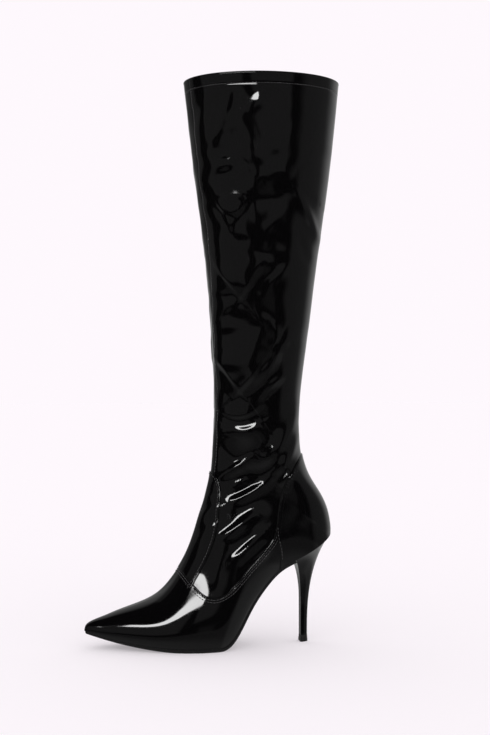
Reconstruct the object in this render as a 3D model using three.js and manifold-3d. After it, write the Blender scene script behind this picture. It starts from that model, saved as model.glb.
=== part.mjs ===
// A tall boot for the left foot, in glossy stretch patent, with a pointed toe and a stiletto heel.
// It stands empty on its tread and its heel tip. Units are millimetres.
// x runs forward from the back of the counter, y towards the outer side of the foot, z up from the floor.
// At the end the boot is moved so that the origin is on the floor, in the middle of its box.
import * as THREE from "three";
import { mergeVertices } from "three/addons/utils/BufferGeometryUtils.js";
import Module from "manifold-3d";

const wasm = await Module();
wasm.setup();

// The last: lengths, heights and widths of the foot part
const footLength = 247; // back of the counter to the toe tip
const heelHeight = 110.5; // floor to the back edge of the heel seat
const toeSpring = 13; // rise of the toe tip over the ball
const instepHeight = 104; // feather edge to the instep, behind the ball
const ballWidth = 77; // upper at the ball
const toeSwing = 6; // how far the toe tip lies to the inner side

// The leg: heights, depths (front to back) and widths (side to side)
const shaftHeight = 452; // back edge of the seat to the collar
const heelDepth = 119; // back of the counter to the front of the ankle
const ankleDepth = 86;
const collarDepth = 157.4;
const heelWidth = 62;
const ankleWidth = 66;
const collarWidth = 112;

// Walls, soles and clearances
const upperWall = 1.8; // lined patent of the foot part
const shaftWall = 1.4; // stretch patent of the leg
const overlayThickness = 0.9; // counter and instep panel
const soleThickness = 4.5; // outsole under the ball
const insoleThickness = 2;
const soleInset = 0.5; // outsole edge inside the feather edge
const soleBevel = 1.4; // further inset of the tread face
const treadGrind = 0.4; // what is ground off to make the tread flat
const seamGap = 0.3; // clearance between pieces that meet
const toeFill = 2; // stations at the tip that the toe puff fills

// The heel and its tip
const breastAt = 40.5; // front of the heel seat, from the back of the counter
const stemBackAt = 23.7;
const stemLength = 7.5; // front to back, at the tip
const stemWidth = 8.8;
const tipHeight = 7;
const tipFlare = 0.45;
const backFlare = 2.75; // powers of the height: the more, the later it flares
const sideFlare = 5;
const breastFlare = 7;

// The collar's edge, turned down inside and stitched
const hemHeight = 11.5;
const hemThickness = 1;

// Shares, by hand, of the sizes above
// Height of the sole's upper face: heel is a share of heelHeight, toe of toeSpring
const SOLE_LINE = [
  { along: 0.0, heel: 1.0, toe: 0 },
  { along: 0.073, heel: 0.885, toe: 0 },
  { along: 0.162, heel: 0.775, toe: 0 },
  { along: 0.235, heel: 0.674, toe: 0 },
  { along: 0.3, heel: 0.51, toe: 0 },
  { along: 0.356, heel: 0.325, toe: 0 },
  { along: 0.401, heel: 0.148, toe: 0 },
  { along: 0.445, heel: 0.026, toe: 0 },
  { along: 0.502, heel: 0, toe: 0 },
  { along: 0.587, heel: 0, toe: 0 },
  { along: 0.696, heel: 0, toe: 0.083 },
  { along: 0.81, heel: 0, toe: 0.285 },
  { along: 0.911, heel: 0, toe: 0.59 },
  { along: 1.0, heel: 0, toe: 1 },
];

// Sections through the foot, toe first. Each lies in a plane that holds the y direction and runs from the
// sole up to the ridge of the vamp. along and lean are shares of footLength, rise of instepHeight, edge and
// girth (half widths at the sole and at the widest place) of ballWidth, swing of toeSwing, sole of
// soleThickness. level is how far up the section the girth lies, and crest narrows the ridge.
const FOOT = [
  { along: 1.0, edge: 0, swing: -1, lean: 0, rise: 0, girth: 0, level: 0.3, crest: 0, sole: 0.5 },
  { along: 0.997, edge: 0.032, swing: -1, lean: -0.002, rise: 0.049, girth: 0.036, level: 0.3, crest: 0, sole: 0.5 },
  { along: 0.986, edge: 0.06, swing: -1, lean: -0.006, rise: 0.086, girth: 0.07, level: 0.3, crest: 0.02, sole: 0.5 },
  { along: 0.964, edge: 0.092, swing: -0.97, lean: -0.009, rise: 0.126, girth: 0.11, level: 0.29, crest: 0.04, sole: 0.52 },
  { along: 0.923, edge: 0.143, swing: -0.88, lean: -0.006, rise: 0.182, girth: 0.17, level: 0.28, crest: 0.06, sole: 0.58 },
  { along: 0.858, edge: 0.226, swing: -0.66, lean: 0, rise: 0.266, girth: 0.26, level: 0.27, crest: 0.1, sole: 0.7 },
  { along: 0.777, edge: 0.322, swing: -0.34, lean: 0.004, rise: 0.356, girth: 0.361, level: 0.25, crest: 0.14, sole: 0.86 },
  { along: 0.692, edge: 0.403, swing: -0.06, lean: 0.013, rise: 0.469, girth: 0.444, level: 0.23, crest: 0.19, sole: 0.98 },
  { along: 0.607, edge: 0.452, swing: 0.18, lean: 0.038, rise: 0.639, girth: 0.493, level: 0.22, crest: 0.26, sole: 1 },
  { along: 0.53, edge: 0.455, swing: 0.4, lean: 0.071, rise: 0.812, girth: 0.5, level: 0.22, crest: 0.3, sole: 1 },
  { along: 0.457, edge: 0.408, swing: 0.53, lean: 0.111, rise: 0.993, girth: 0.474, level: 0.23, crest: 0.3, sole: 0.94 },
  { along: 0.393, edge: 0.337, swing: 0.53, lean: 0.149, rise: 1.02, girth: 0.442, level: 0.27, crest: 0.26, sole: 0.8 },
  { along: 0.328, edge: 0.281, swing: 0.43, lean: 0.1945, rise: 0.905, girth: 0.421, level: 0.32, crest: 0.21, sole: 0.74 },
  { along: 0.259, edge: 0.27, swing: 0.3, lean: 0.2505, rise: 0.818, girth: 0.41, level: 0.36, crest: 0.17, sole: 0.74 },
  { along: 0.19, edge: 0.297, swing: 0.17, lean: 0.31, rise: 0.7865, girth: 0.405, level: 0.38, crest: 0.13, sole: 0.76 },
  { along: 0.13, edge: 0.32, swing: 0.07, lean: 0.365, rise: 0.7885, girth: 0.403, level: 0.38, crest: 0.1, sole: 0.78 },
  { along: 0.077, edge: 0.31, swing: 0, lean: 0.415, rise: 0.782, girth: 0.402, level: 0.38, crest: 0.08, sole: 0.78 },
  { along: 0.036, edge: 0.241, swing: 0, lean: 0.454, rise: 0.776, girth: 0.402, level: 0.37, crest: 0.06, sole: 0.78 },
  { along: 0.0125, edge: 0.13, swing: 0, lean: 0.476, rise: 0.79, girth: 0.403, level: 0.365, crest: 0.05, sole: 0.78 },
  { along: 0.004, edge: 0, swing: 0, lean: 0.4835, rise: 0.829, girth: 0.404, level: 0.365, crest: 0.04, sole: 0.78 },
];

// Sections through the leg, upwards from the back edge of the seat. up is a share of shaftHeight, lift (how
// far the front lies over the back) of instepHeight, middle of footLength. depth and width go from the heel's
// size at 0 through the ankle's at 1 to the collar's at 2.
const LEG = [
  { up: 0.0125, lift: 0.821, middle: 0.245, depth: 0.0, width: 0.1, level: 0.37, crest: 0.04 },
  { up: 0.0498, lift: 0.716, middle: 0.251, depth: 0.103, width: 0.45, level: 0.385, crest: 0.03 },
  { up: 0.0874, lift: 0.62, middle: 0.2658, depth: 0.3545, width: 0.8, level: 0.41, crest: 0.02 },
  { up: 0.125, lift: 0.538, middle: 0.286, depth: 0.688, width: 0.98, level: 0.44, crest: 0.01 },
  { up: 0.167, lift: 0.452, middle: 0.2995, depth: 0.912, width: 1.0, level: 0.465, crest: 0 },
  { up: 0.2135, lift: 0.375, middle: 0.306, depth: 0.995, width: 1.0, level: 0.48, crest: 0 },
  { up: 0.2754, lift: 0.298, middle: 0.3067, depth: 1.007, width: 1.065, level: 0.485, crest: 0 },
  { up: 0.364, lift: 0.212, middle: 0.302, depth: 1.086, width: 1.24, level: 0.485, crest: 0 },
  { up: 0.4745, lift: 0.125, middle: 0.2935, depth: 1.215, width: 1.435, level: 0.485, crest: 0 },
  { up: 0.607, lift: 0.058, middle: 0.288, depth: 1.39, width: 1.63, level: 0.485, crest: 0 },
  { up: 0.751, lift: 0.015, middle: 0.2856, depth: 1.64, width: 1.8, level: 0.49, crest: 0 },
  { up: 0.884, lift: -0.006, middle: 0.2846, depth: 1.842, width: 1.913, level: 0.495, crest: 0 },
  { up: 1.0, lift: -0.018, middle: 0.286, depth: 2, width: 2, level: 0.5, crest: 0 },
];

// Seams as the side view shows them: along is a share of footLength, up of heelHeight.
// From in front of the instep, round the vamp and up the front edge of the counter to behind the ankle
const LEG_SEAM = [
  { along: 0.68, up: 0.86 },
  { along: 0.626, up: 0.71 },
  { along: 0.582, up: 0.587 },
  { along: 0.539, up: 0.5 },
  { along: 0.491, up: 0.482 },
  { along: 0.43, up: 0.558 },
  { along: 0.353, up: 0.739 },
  { along: 0.2915, up: 0.889 },
  { along: 0.254, up: 1.015 },
  { along: 0.242, up: 1.185 },
  { along: 0.23, up: 1.348 },
  { along: 0.2085, up: 1.493 },
  { along: 0.176, up: 1.606 },
  { along: 0.1356, up: 1.697 },
  { along: 0.081, up: 1.774 },
  { along: 0.0, up: 1.855 },
];
// Front edge of the counter below its meeting with the vamp, down past the sole
const COUNTER_SEAM = [
  { along: 0.252, up: 1.1 },
  { along: 0.249, up: 1.0 },
  { along: 0.236, up: 0.885 },
  { along: 0.23, up: 0.77 },
  { along: 0.229, up: 0.5 },
];
// Side edge of the instep panel, from in front of the ankle down to the vamp
const INSTEP_EDGE = [
  { along: 0.56, up: 1.63 },
  { along: 0.498, up: 1.57 },
  { along: 0.4757, up: 1.52 },
  { along: 0.4676, up: 1.448 },
  { along: 0.4688, up: 1.34 },
  { along: 0.4757, up: 1.22 },
  { along: 0.486, up: 1.068 },
  { along: 0.508, up: 0.905 },
  { along: 0.5385, up: 0.76 },
  { along: 0.5725, up: 0.634 },
  { along: 0.6, up: 0.54 },
];

// How finely the solids are faceted
const sidePoints = 11; // points up each side of a section
const toeRows = 5; // rows of FOOT at the tip, which are close enough as they are
const footSteps = 2; // stations for each further row of FOOT
const legSteps = 2; // stations for each row of LEG
const seamSteps = 2; // points for each row of a seam
const probe = 0.02; // step for working out a tangent

// Cubic spline through (knots, values). Its ends are straight, or level where levelStart or levelEnd says so.
function spline(knots, values, { levelStart = false, levelEnd = false } = {}) {
  const last = knots.length - 1;
  const gap = (i) => knots[i + 1] - knots[i];
  const slope = (i) => (values[i + 1] - values[i]) / gap(i);
  const bend = [levelStart ? (3 * slope(0)) / gap(0) : 0];
  const ratio = [levelStart ? 0.5 : 0];
  for (let i = 1; i < last; i++) {
    const pivot = 2 * (gap(i - 1) + gap(i)) - gap(i - 1) * ratio[i - 1];
    ratio[i] = gap(i) / pivot;
    bend[i] = (6 * (slope(i) - slope(i - 1)) - gap(i - 1) * bend[i - 1]) / pivot;
  }
  const before = gap(last - 1);
  bend[last] = levelEnd ? (-6 * slope(last - 1) / before - bend[last - 1]) / (2 - ratio[last - 1]) : 0;
  for (let i = last - 1; i >= 0; i--) bend[i] -= ratio[i] * bend[i + 1];
  return (at) => {
    let i = 0;
    while (i < last - 1 && at > knots[i + 1]) i++;
    const right = (at - knots[i]) / gap(i);
    const left = 1 - right;
    const curve = (left ** 3 - left) * bend[i] + (right ** 3 - right) * bend[i + 1];
    return left * values[i] + right * values[i + 1] + (curve * gap(i) ** 2) / 6;
  };
}

const numbered = (rows, from = 0) => rows.map((_, i) => i + from);
const column = (rows, name, scale = 1) => rows.map((row) => row[name] * scale);

// Height of the sole's upper face, where the upper's feather edge runs
const soleLine = spline(
  column(SOLE_LINE, "along", footLength),
  SOLE_LINE.map((row) => soleThickness + row.heel * (heelHeight - soleThickness) + row.toe * toeSpring),
);

// Stations count the rows of FOOT and then of LEG. Station seatStation is the back edge of the seat.
const seatStation = FOOT.length - 1;
const collarStation = seatStation + LEG.length;

const between = (stage, heel, ankle, collar) =>
  stage < 1 ? heel + stage * (ankle - heel) : ankle + (stage - 1) * (collar - ankle);

const footRows = FOOT.map((row) => {
  const x = row.along * footLength;
  const z = soleLine(x);
  return {
    backX: x,
    backZ: z,
    frontX: x + row.lean * footLength,
    frontZ: z + row.rise * instepHeight,
    girth: row.girth * ballWidth,
    edge: row.edge * ballWidth,
    swing: row.swing * toeSwing,
    sole: row.sole * soleThickness,
    level: row.level,
    crest: row.crest,
  };
});
const legRows = LEG.map((row) => {
  const middle = row.middle * footLength;
  const depth = between(row.depth, heelDepth, ankleDepth, collarDepth);
  const z = heelHeight + row.up * shaftHeight;
  return {
    backX: middle - depth / 2,
    backZ: z,
    frontX: middle + depth / 2,
    frontZ: z + row.lift * instepHeight,
    girth: between(row.width, heelWidth, ankleWidth, collarWidth) / 2,
    swing: 0,
    level: row.level,
    crest: row.crest,
  };
});
const backRows = [footRows[seatStation], ...legRows];
const allRows = [...footRows, ...legRows];

// Splines over the stations: what runs on past the seat, what ends there, and what starts there.
// The back edge of the seat is a corner, so the sections slow down there, and the form over it stays smooth.
const through = (name) => spline(numbered(allRows), column(allRows, name));
const along = (name, ends) => spline(numbered(footRows), column(footRows, name), ends);
const upward = (name) => spline(numbered(backRows, seatStation), column(backRows, name), { levelStart: true });
const frontX = through("frontX");
const frontZ = through("frontZ");
const girth = through("girth");
const level = through("level");
const crest = through("crest");
const swing = through("swing");
const soleX = along("backX", { levelStart: true, levelEnd: true });
const featherEdge = along("edge");
const soleDepth = along("sole");
const backX = upward("backX");
const backZ = upward("backZ");

const vector = (x, y, z) => new THREE.Vector3(x, y, z);

// A point of the boot's outer surface. angle runs from -90 degrees at the sole or back to 90 at the ridge or front,
// and side is 1 for the outer side and -1 for the inner side. Below the widest place the half width is that of an
// ellipse that stops at the feather edge, and above it that of an ellipse narrowed by the crest.
function surfacePoint(station, angle, side) {
  const onFoot = station <= seatStation;
  const back = onFoot
    ? [soleX(station), soleLine(soleX(station))]
    : [backX(station), backZ(station)];
  const edge = onFoot ? Math.max(featherEdge(station), 0) : 0;
  const wide = Math.max(girth(station), 0);
  const middle = level(station);
  const sine = Math.sin(angle);
  const cosine = Math.cos(angle);
  const share = angle < 0 ? middle * (1 + sine) : middle + (1 - middle) * sine;
  const half = angle < 0
    ? Math.hypot(wide * cosine, edge * sine)
    : wide * cosine * (1 - crest(station) * sine * sine);
  return vector(
    back[0] + share * (frontX(station) - back[0]),
    swing(station) + side * half,
    back[1] + share * (frontZ(station) - back[1]),
  );
}

// Outward normal of that surface, from two tangents
function surfaceNormal(station, angle, side) {
  if (station === 0) return vector(1, 0, 0);
  const inSide = THREE.MathUtils.clamp(angle, -Math.PI / 2 + probe, Math.PI / 2 - probe);
  const ahead = station === seatStation ? station : Math.min(station + probe, collarStation);
  const behind = Math.max(station - probe, 0);
  const lengthwise = surfacePoint(ahead, inSide, side).sub(surfacePoint(behind, inSide, side));
  const around = surfacePoint(station, inSide + probe / 2, side).sub(surfacePoint(station, inSide - probe / 2, side));
  const normal = lengthwise.cross(around).multiplyScalar(side);
  const onMiddle = inSide !== angle && (angle > 0 || station >= seatStation);
  if (onMiddle) normal.y = 0;
  return normal.normalize();
}

// One section as a ring of points, moved outwards by offset
function sectionRing(station, offset) {
  const ring = [];
  for (let i = 0; i <= 2 * sidePoints; i++) {
    const side = i <= sidePoints ? 1 : -1;
    const step = i <= sidePoints ? i : 2 * sidePoints - i;
    const angle = (step / sidePoints - 0.5) * Math.PI;
    ring.push(surfacePoint(station, angle, side).addScaledVector(surfaceNormal(station, angle, side), offset));
  }
  return ring;
}

// Closed mesh to solid: points are welded, and triangles that the welding closes are dropped
function solidOf(geometry) {
  const loose = geometry.index ? geometry.toNonIndexed() : geometry;
  const bare = new THREE.BufferGeometry().setAttribute("position", loose.getAttribute("position"));
  const welded = mergeVertices(bare, 1e-3);
  const index = welded.index.array;
  const kept = [];
  for (let i = 0; i < index.length; i += 3) {
    const [a, b, c] = [index[i], index[i + 1], index[i + 2]];
    if (a !== b && b !== c && c !== a) kept.push(a, b, c);
  }
  return new wasm.Manifold(
    new wasm.Mesh({
      numProp: 3,
      vertProperties: welded.attributes.position.array,
      triVerts: new Uint32Array(kept),
    }),
  );
}

const solidFrom = (triangles) =>
  solidOf(new THREE.BufferGeometry().setFromPoints(triangles.flat()));

const middleOf = (ring) =>
  ring.reduce((sum, point) => sum.add(point), vector(0, 0, 0)).divideScalar(ring.length);

// Rings of the same length joined into a closed solid, with a fan over each end
function loft(rings) {
  const triangles = [];
  const count = rings[0].length;
  for (let r = 0; r + 1 < rings.length; r++) {
    for (let i = 0; i < count; i++) {
      const j = (i + 1) % count;
      triangles.push([rings[r][i], rings[r + 1][i], rings[r + 1][j]]);
      triangles.push([rings[r][i], rings[r + 1][j], rings[r][j]]);
    }
  }
  const last = rings[rings.length - 1];
  const start = middleOf(rings[0]);
  const end = middleOf(last);
  for (let i = 0; i < count; i++) {
    const j = (i + 1) % count;
    triangles.push([rings[0][j], start, rings[0][i]]);
    triangles.push([last[i], end, last[j]]);
  }
  return solidFrom(triangles);
}

// Stations from one to another, with those of the tables and the steps between
function stations(from, to) {
  const list = [from];
  for (let row = Math.floor(from); row < to; row++) {
    const steps = row < toeRows ? 1 : row < seatStation ? footSteps : legSteps;
    for (let step = 1; step <= steps; step++) {
      const at = row + step / steps;
      if (at > from + probe && at < to - probe) list.push(at);
    }
  }
  return [...list, to];
}

// The form inside the boot's surface, moved outwards by offset, between two stations. above lifts its top face.
function form(offset, from, to, above = 0) {
  const rings = stations(from, to).map((station) => sectionRing(station, offset));
  if (above) rings.push(rings[rings.length - 1].map((point) => point.clone().setZ(point.z + above)));
  return loft(rings);
}

// A point of the sole's edge, inset within the sole's face and moved off it by height
function edgePoint(station, side, inset, height) {
  const at = (u) => vector(soleX(u), swing(u) + side * Math.max(featherEdge(u), 0), soleLine(soleX(u)));
  const slope = (soleLine(soleX(station) + probe) - soleLine(soleX(station) - probe)) / (2 * probe);
  const up = vector(-slope, 0, 1).normalize();
  const atEnd = station === 0 || station === seatStation;
  const tangent = at(Math.min(station + probe, seatStation)).sub(at(Math.max(station - probe, 0)));
  const outward = atEnd
    ? vector(1, 0, slope).multiplyScalar(station === 0 ? 1 : -1)
    : tangent.cross(up).multiplyScalar(side);
  return at(station).addScaledVector(outward.normalize(), -inset).addScaledVector(up, height);
}

// A slab that follows the sole's face. low, high, lowInset and highInset may be functions of the station.
function slab({ from, low, high, lowInset, highInset }) {
  const rings = stations(from, seatStation).map((station) => {
    const depth = typeof low === "function" ? low(station) : low;
    return [
      edgePoint(station, 1, highInset, high),
      edgePoint(station, -1, highInset, high),
      edgePoint(station, -1, lowInset, depth),
      edgePoint(station, 1, lowInset, depth),
    ];
  });
  return loft(rings);
}

// Points of a seam in the side view, moved by offset across it: upwards and forwards when it is more than 0
function seamPath(rows, offset = 0) {
  const x = spline(numbered(rows), column(rows, "along", footLength));
  const z = spline(numbered(rows), column(rows, "up", heelHeight));
  const points = [];
  for (let i = 0; i <= (rows.length - 1) * seamSteps; i++) {
    const at = i / seamSteps;
    const tangent = new THREE.Vector2(x(at + probe) - x(at - probe), z(at + probe) - z(at - probe)).normalize();
    points.push(new THREE.Vector2(x(at) + tangent.y * offset, z(at) - tangent.x * offset));
  }
  return points;
}

// The whole width of the boot within an outline of the side view
function prism(outline) {
  const shape = new THREE.Shape(outline);
  const width = 2 * Math.max(ballWidth, collarWidth);
  const geometry = new THREE.ExtrudeGeometry(shape, { depth: width, bevelEnabled: false, steps: 1 });
  geometry.rotateX(Math.PI / 2).translate(0, width / 2, 0);
  return solidOf(geometry);
}

const flat = (x, z) => new THREE.Vector2(x, z);
const farAhead = 2 * footLength;
const farBehind = -footLength;
const farUp = 2 * (heelHeight + shaftHeight);

// Everything above the seam that joins the leg to the foot part
const overLegSeam = (offset) =>
  prism([...seamPath(LEG_SEAM, offset), flat(farBehind, 2 * heelHeight), flat(farBehind, farUp), flat(farAhead, farUp)]);
const behindCounterSeam = () =>
  prism([...seamPath(COUNTER_SEAM), flat(farBehind, 0), flat(farBehind, farUp), flat(seamPath(COUNTER_SEAM)[0].x, farUp)]);
const beforeInstepEdge = () => prism([...seamPath(INSTEP_EDGE), flat(farAhead, 0), flat(farAhead, farUp)]);

// Everything under the sole's upper face, which is straight across the foot
function underSole() {
  const line = numbered(Array(2 * SOLE_LINE.length + 1).fill()).map((i) => {
    const x = (i / (2 * SOLE_LINE.length)) * footLength;
    return flat(x, soleLine(x));
  });
  const seatEdge = flat(line[0].x * 2 - line[1].x, line[0].y * 2 - line[1].y);
  const tip = line[line.length - 1];
  const under = [flat(farAhead, tip.y), flat(farAhead, -heelHeight), flat(farBehind, -heelHeight), flat(farBehind, seatEdge.y)];
  return prism([seatEdge, ...line, ...under]);
}

const outerForm = (offset = 0, above = 0) => form(offset, 0, collarStation, above);
const innerForm = (wall, above) => form(-wall, toeFill, collarStation, above);
const overlayShell = () =>
  outerForm(seamGap + overlayThickness).subtract(outerForm(seamGap, shaftWall));
const box = (low, high) => {
  const size = high.clone().sub(low);
  const middle = low.clone().add(high).multiplyScalar(0.5);
  return solidOf(new THREE.BoxGeometry(size.x, size.y, size.z).translate(middle.x, middle.y, middle.z));
};

// The foot part: vamp and quarters in one wall, open at the leg and underneath
function upperSolid() {
  const opening = slab({
    from: toeFill,
    low: -insoleThickness,
    high: 2 * insoleThickness,
    lowInset: upperWall,
    highInset: upperWall,
  });
  return outerForm()
    .subtract(innerForm(upperWall, 2 * upperWall))
    .subtract(opening)
    .subtract(overLegSeam(-seamGap));
}

// The leg, from the vamp and counter seams to the collar, where the turned hem thickens the wall inwards
function shaftSolid() {
  const hemStart = collarStation - hemHeight / (backZ(collarStation) - backZ(collarStation - 1));
  const leg = form(-shaftWall, toeFill, hemStart);
  const mouth = form(-shaftWall - hemThickness, hemStart - probe, collarStation, shaftWall);
  return outerForm().subtract(leg).subtract(mouth).intersect(overLegSeam(0));
}

function counterSolid() {
  return overlayShell().intersect(behindCounterSeam()).subtract(overLegSeam(0)).subtract(underSole());
}

function instepPanelSolid() {
  return overlayShell().intersect(beforeInstepEdge()).intersect(overLegSeam(0));
}

// Outsole from the toe to the heel's breast, with its tread ground flat
function outsoleSolid() {
  const whole = slab({
    from: 0,
    low: (station) => -soleDepth(station) - treadGrind,
    high: -seamGap,
    lowInset: soleInset + soleBevel,
    highInset: soleInset,
  });
  const floor = box(vector(farBehind, -ballWidth, -heelHeight), vector(farAhead, ballWidth, 0));
  const behind = box(vector(farBehind, -ballWidth, 0), vector(breastAt + seamGap, ballWidth, 2 * heelHeight));
  return whole.subtract(floor).subtract(behind);
}

function insoleSolid() {
  const inset = upperWall + seamGap;
  return slab({ from: toeFill, low: 0, high: insoleThickness, lowInset: inset, highInset: inset });
}

// The heel's outline from the breast's outer corner round the back to its inner corner and straight across again.
// turn is 0 at the outer corner, 1 at the inner corner and between 1 and 2 along the breast.
const heelTurns = 14;
const breastTurns = 4;
const turns = [
  ...numbered(Array(heelTurns).fill()).map((i) => i / heelTurns),
  ...numbered(Array(breastTurns).fill()).map((i) => 1 + i / breastTurns),
];
function stationAt(x) {
  let low = 0;
  let high = seatStation;
  while (high - low > 1e-6) {
    const middle = (low + high) / 2;
    if (soleX(middle) > x) low = middle;
    else high = middle;
  }
  return low;
}
function seatPoint(turn) {
  const breast = stationAt(breastAt);
  if (turn >= 1) return seatPoint(0).lerp(seatPoint(1 - 1e-9), 2 - turn);
  const half = turn <= 0.5 ? 2 * turn : 2 * (1 - turn);
  return edgePoint(breast + half * (seatStation - breast), turn <= 0.5 ? 1 : -1, soleInset, -seamGap);
}
function stemPoint(turn, grow, z) {
  const front = stemBackAt + stemLength + grow;
  if (turn >= 1) return vector(front, (stemWidth / 2 + grow) * (2 * turn - 3), z);
  const angle = turn * Math.PI;
  return vector(front - (stemLength + 2 * grow) * Math.sin(angle), (stemWidth / 2 + grow) * Math.cos(angle), z);
}
// How late the heel flares towards the seat: the sides first, then the back, and the breast last
function flarePower(turn) {
  if (turn >= 1) return breastFlare;
  const back = Math.sin(turn * Math.PI);
  return sideFlare + (backFlare - sideFlare) * back;
}

function heelSolid() {
  const levels = 16;
  const rings = [];
  for (let level = 0; level <= levels; level++) {
    const share = Math.sin((level / levels) * (Math.PI / 2));
    rings.push(
      turns.map((turn) => {
        const foot = stemPoint(turn, 0, tipHeight + seamGap);
        const seat = seatPoint(turn);
        const flare = share ** flarePower(turn);
        return vector(
          foot.x + (seat.x - foot.x) * flare,
          foot.y + (seat.y - foot.y) * flare,
          foot.z + (seat.z - foot.z) * share,
        );
      }),
    );
  }
  return stack(rings);
}

// Rings joined upwards, with ends that follow the ring's own slope: strips across the round part, a fan at the breast
function stack(rings) {
  const triangles = [];
  const count = rings[0].length;
  for (let r = 0; r + 1 < rings.length; r++) {
    for (let i = 0; i < count; i++) {
      const j = (i + 1) % count;
      triangles.push([rings[r][i], rings[r][j], rings[r + 1][j]]);
      triangles.push([rings[r][i], rings[r + 1][j], rings[r + 1][i]]);
    }
  }
  const cap = (ring, up) => {
    const add = (a, b, c) => triangles.push(up ? [a, b, c] : [a, c, b]);
    for (let i = 1; i < heelTurns / 2; i++) {
      const k = heelTurns - i;
      add(ring[i], ring[i + 1], ring[k - 1]);
      add(ring[i], ring[k - 1], ring[k]);
    }
    const breast = [...numbered(Array(breastTurns + 1).fill()).map((i) => ring[(heelTurns + i) % count])];
    add(ring[1], ring[heelTurns - 1], breast[0]);
    for (let i = 0; i < breastTurns; i++) add(ring[1], breast[i], breast[i + 1]);
  };
  cap(rings[rings.length - 1], true);
  cap(rings[0], false);
  return solidFrom(triangles);
}

function heelTipSolid() {
  return stack([
    turns.map((turn) => stemPoint(turn, tipFlare, 0)),
    turns.map((turn) => stemPoint(turn, tipFlare, tipHeight * 0.4)),
    turns.map((turn) => stemPoint(turn, 0, tipHeight)),
  ]);
}

// Finishes: glossy patent, satin lining board and hard rubber
const patent = { color: 0x0b0b0c, roughness: 0.08, metalness: 0 };
const board = { color: 0x2a2622, roughness: 0.7, metalness: 0 };
const rubber = { color: 0x0d0d0d, roughness: 0.45, metalness: 0 };

function piece(name, solid, finish) {
  const { numProp, numVert, vertProperties, triVerts } = solid.getMesh();
  const positions = new Float32Array(numVert * 3);
  for (let i = 0; i < numVert; i++) positions.set(vertProperties.subarray(i * numProp, i * numProp + 3), i * 3);
  const geometry = new THREE.BufferGeometry().setAttribute("position", new THREE.BufferAttribute(positions, 3));
  geometry.setIndex(new THREE.BufferAttribute(triVerts, 1));
  const mesh = new THREE.Mesh(geometry, new THREE.MeshStandardMaterial(finish));
  mesh.name = name;
  return mesh;
}

const parts = new THREE.Group();
parts.add(
  piece("upper", upperSolid(), patent),
  piece("shaft", shaftSolid(), patent),
  piece("counter", counterSolid(), patent),
  piece("instep_panel", instepPanelSolid(), patent),
  piece("outsole", outsoleSolid(), rubber),
  piece("insole", insoleSolid(), board),
  piece("heel", heelSolid(), patent),
  piece("heel_tip", heelTipSolid(), rubber),
);

// The origin: on the floor, in the middle of the boot's box
const extent = new THREE.Box3().setFromObject(parts);
parts.position.set(-(extent.min.x + extent.max.x) / 2, -(extent.min.y + extent.max.y) / 2, 0);
const boot = new THREE.Group();
boot.add(parts);

export default boot;
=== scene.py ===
# %% [markdown]
# A tall boot in black patent, seen from its outer side
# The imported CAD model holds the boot's solids in metres, and this notebook dresses it. Each visible piece
# is built again as a smooth surface worked out with numpy, and rides on the boot's one body. It could also
# be pushed into shape by hand from a cylinder. Formulas were chosen because every piece then follows the
# same form, so seams fit.

# %% Load the frame
import math
import bpy
import numpy as np
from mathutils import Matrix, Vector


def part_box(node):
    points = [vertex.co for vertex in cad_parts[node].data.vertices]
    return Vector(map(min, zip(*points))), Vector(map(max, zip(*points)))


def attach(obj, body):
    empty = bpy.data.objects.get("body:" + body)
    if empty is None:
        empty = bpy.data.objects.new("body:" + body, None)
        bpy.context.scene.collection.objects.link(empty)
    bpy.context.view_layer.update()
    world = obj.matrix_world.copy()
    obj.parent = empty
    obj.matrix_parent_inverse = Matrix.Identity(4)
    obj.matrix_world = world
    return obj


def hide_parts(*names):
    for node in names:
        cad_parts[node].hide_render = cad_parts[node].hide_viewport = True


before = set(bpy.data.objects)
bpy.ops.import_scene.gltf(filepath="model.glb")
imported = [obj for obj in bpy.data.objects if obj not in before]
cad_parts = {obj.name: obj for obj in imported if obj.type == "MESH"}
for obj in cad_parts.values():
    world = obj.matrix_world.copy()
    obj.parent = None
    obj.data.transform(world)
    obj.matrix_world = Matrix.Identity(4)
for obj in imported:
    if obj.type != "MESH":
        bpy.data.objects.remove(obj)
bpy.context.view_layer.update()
MM = 0.001

# %% [markdown]
# The last and the leg
# A shoemaker stretches the upper over a last. Here the last is a table of sections: each row is a plane
# that runs from the sole (or the back of the leg) up to the ridge of the vamp (or the front of the leg).
# The numbers are the same as those the CAD solids were cut from, so the skin lies where the solids are.

# %% Sizes and tables of the last
FOOT_LENGTH, HEEL_HEIGHT, TOE_SPRING, INSTEP_HEIGHT = 247, 110.5, 13, 104
BALL_WIDTH, TOE_SWING, SHAFT_HEIGHT = 77, 6, 452
DEPTHS = (119, 86, 157.4)  # leg front to back: at the heel, the ankle and the collar
WIDTHS = (62, 66, 112)  # leg side to side, at the same places
SOLE_THICKNESS = 4.5

# along, share of the heel's height, share of the toe spring
SOLE_LINE = np.array([
    (0, 1, 0), (0.073, 0.885, 0), (0.162, 0.775, 0), (0.235, 0.674, 0), (0.3, 0.51, 0), (0.356, 0.325, 0),
    (0.401, 0.148, 0), (0.445, 0.026, 0), (0.502, 0, 0), (0.587, 0, 0), (0.696, 0, 0.083), (0.81, 0, 0.285),
    (0.911, 0, 0.59), (1, 0, 1),
])
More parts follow.
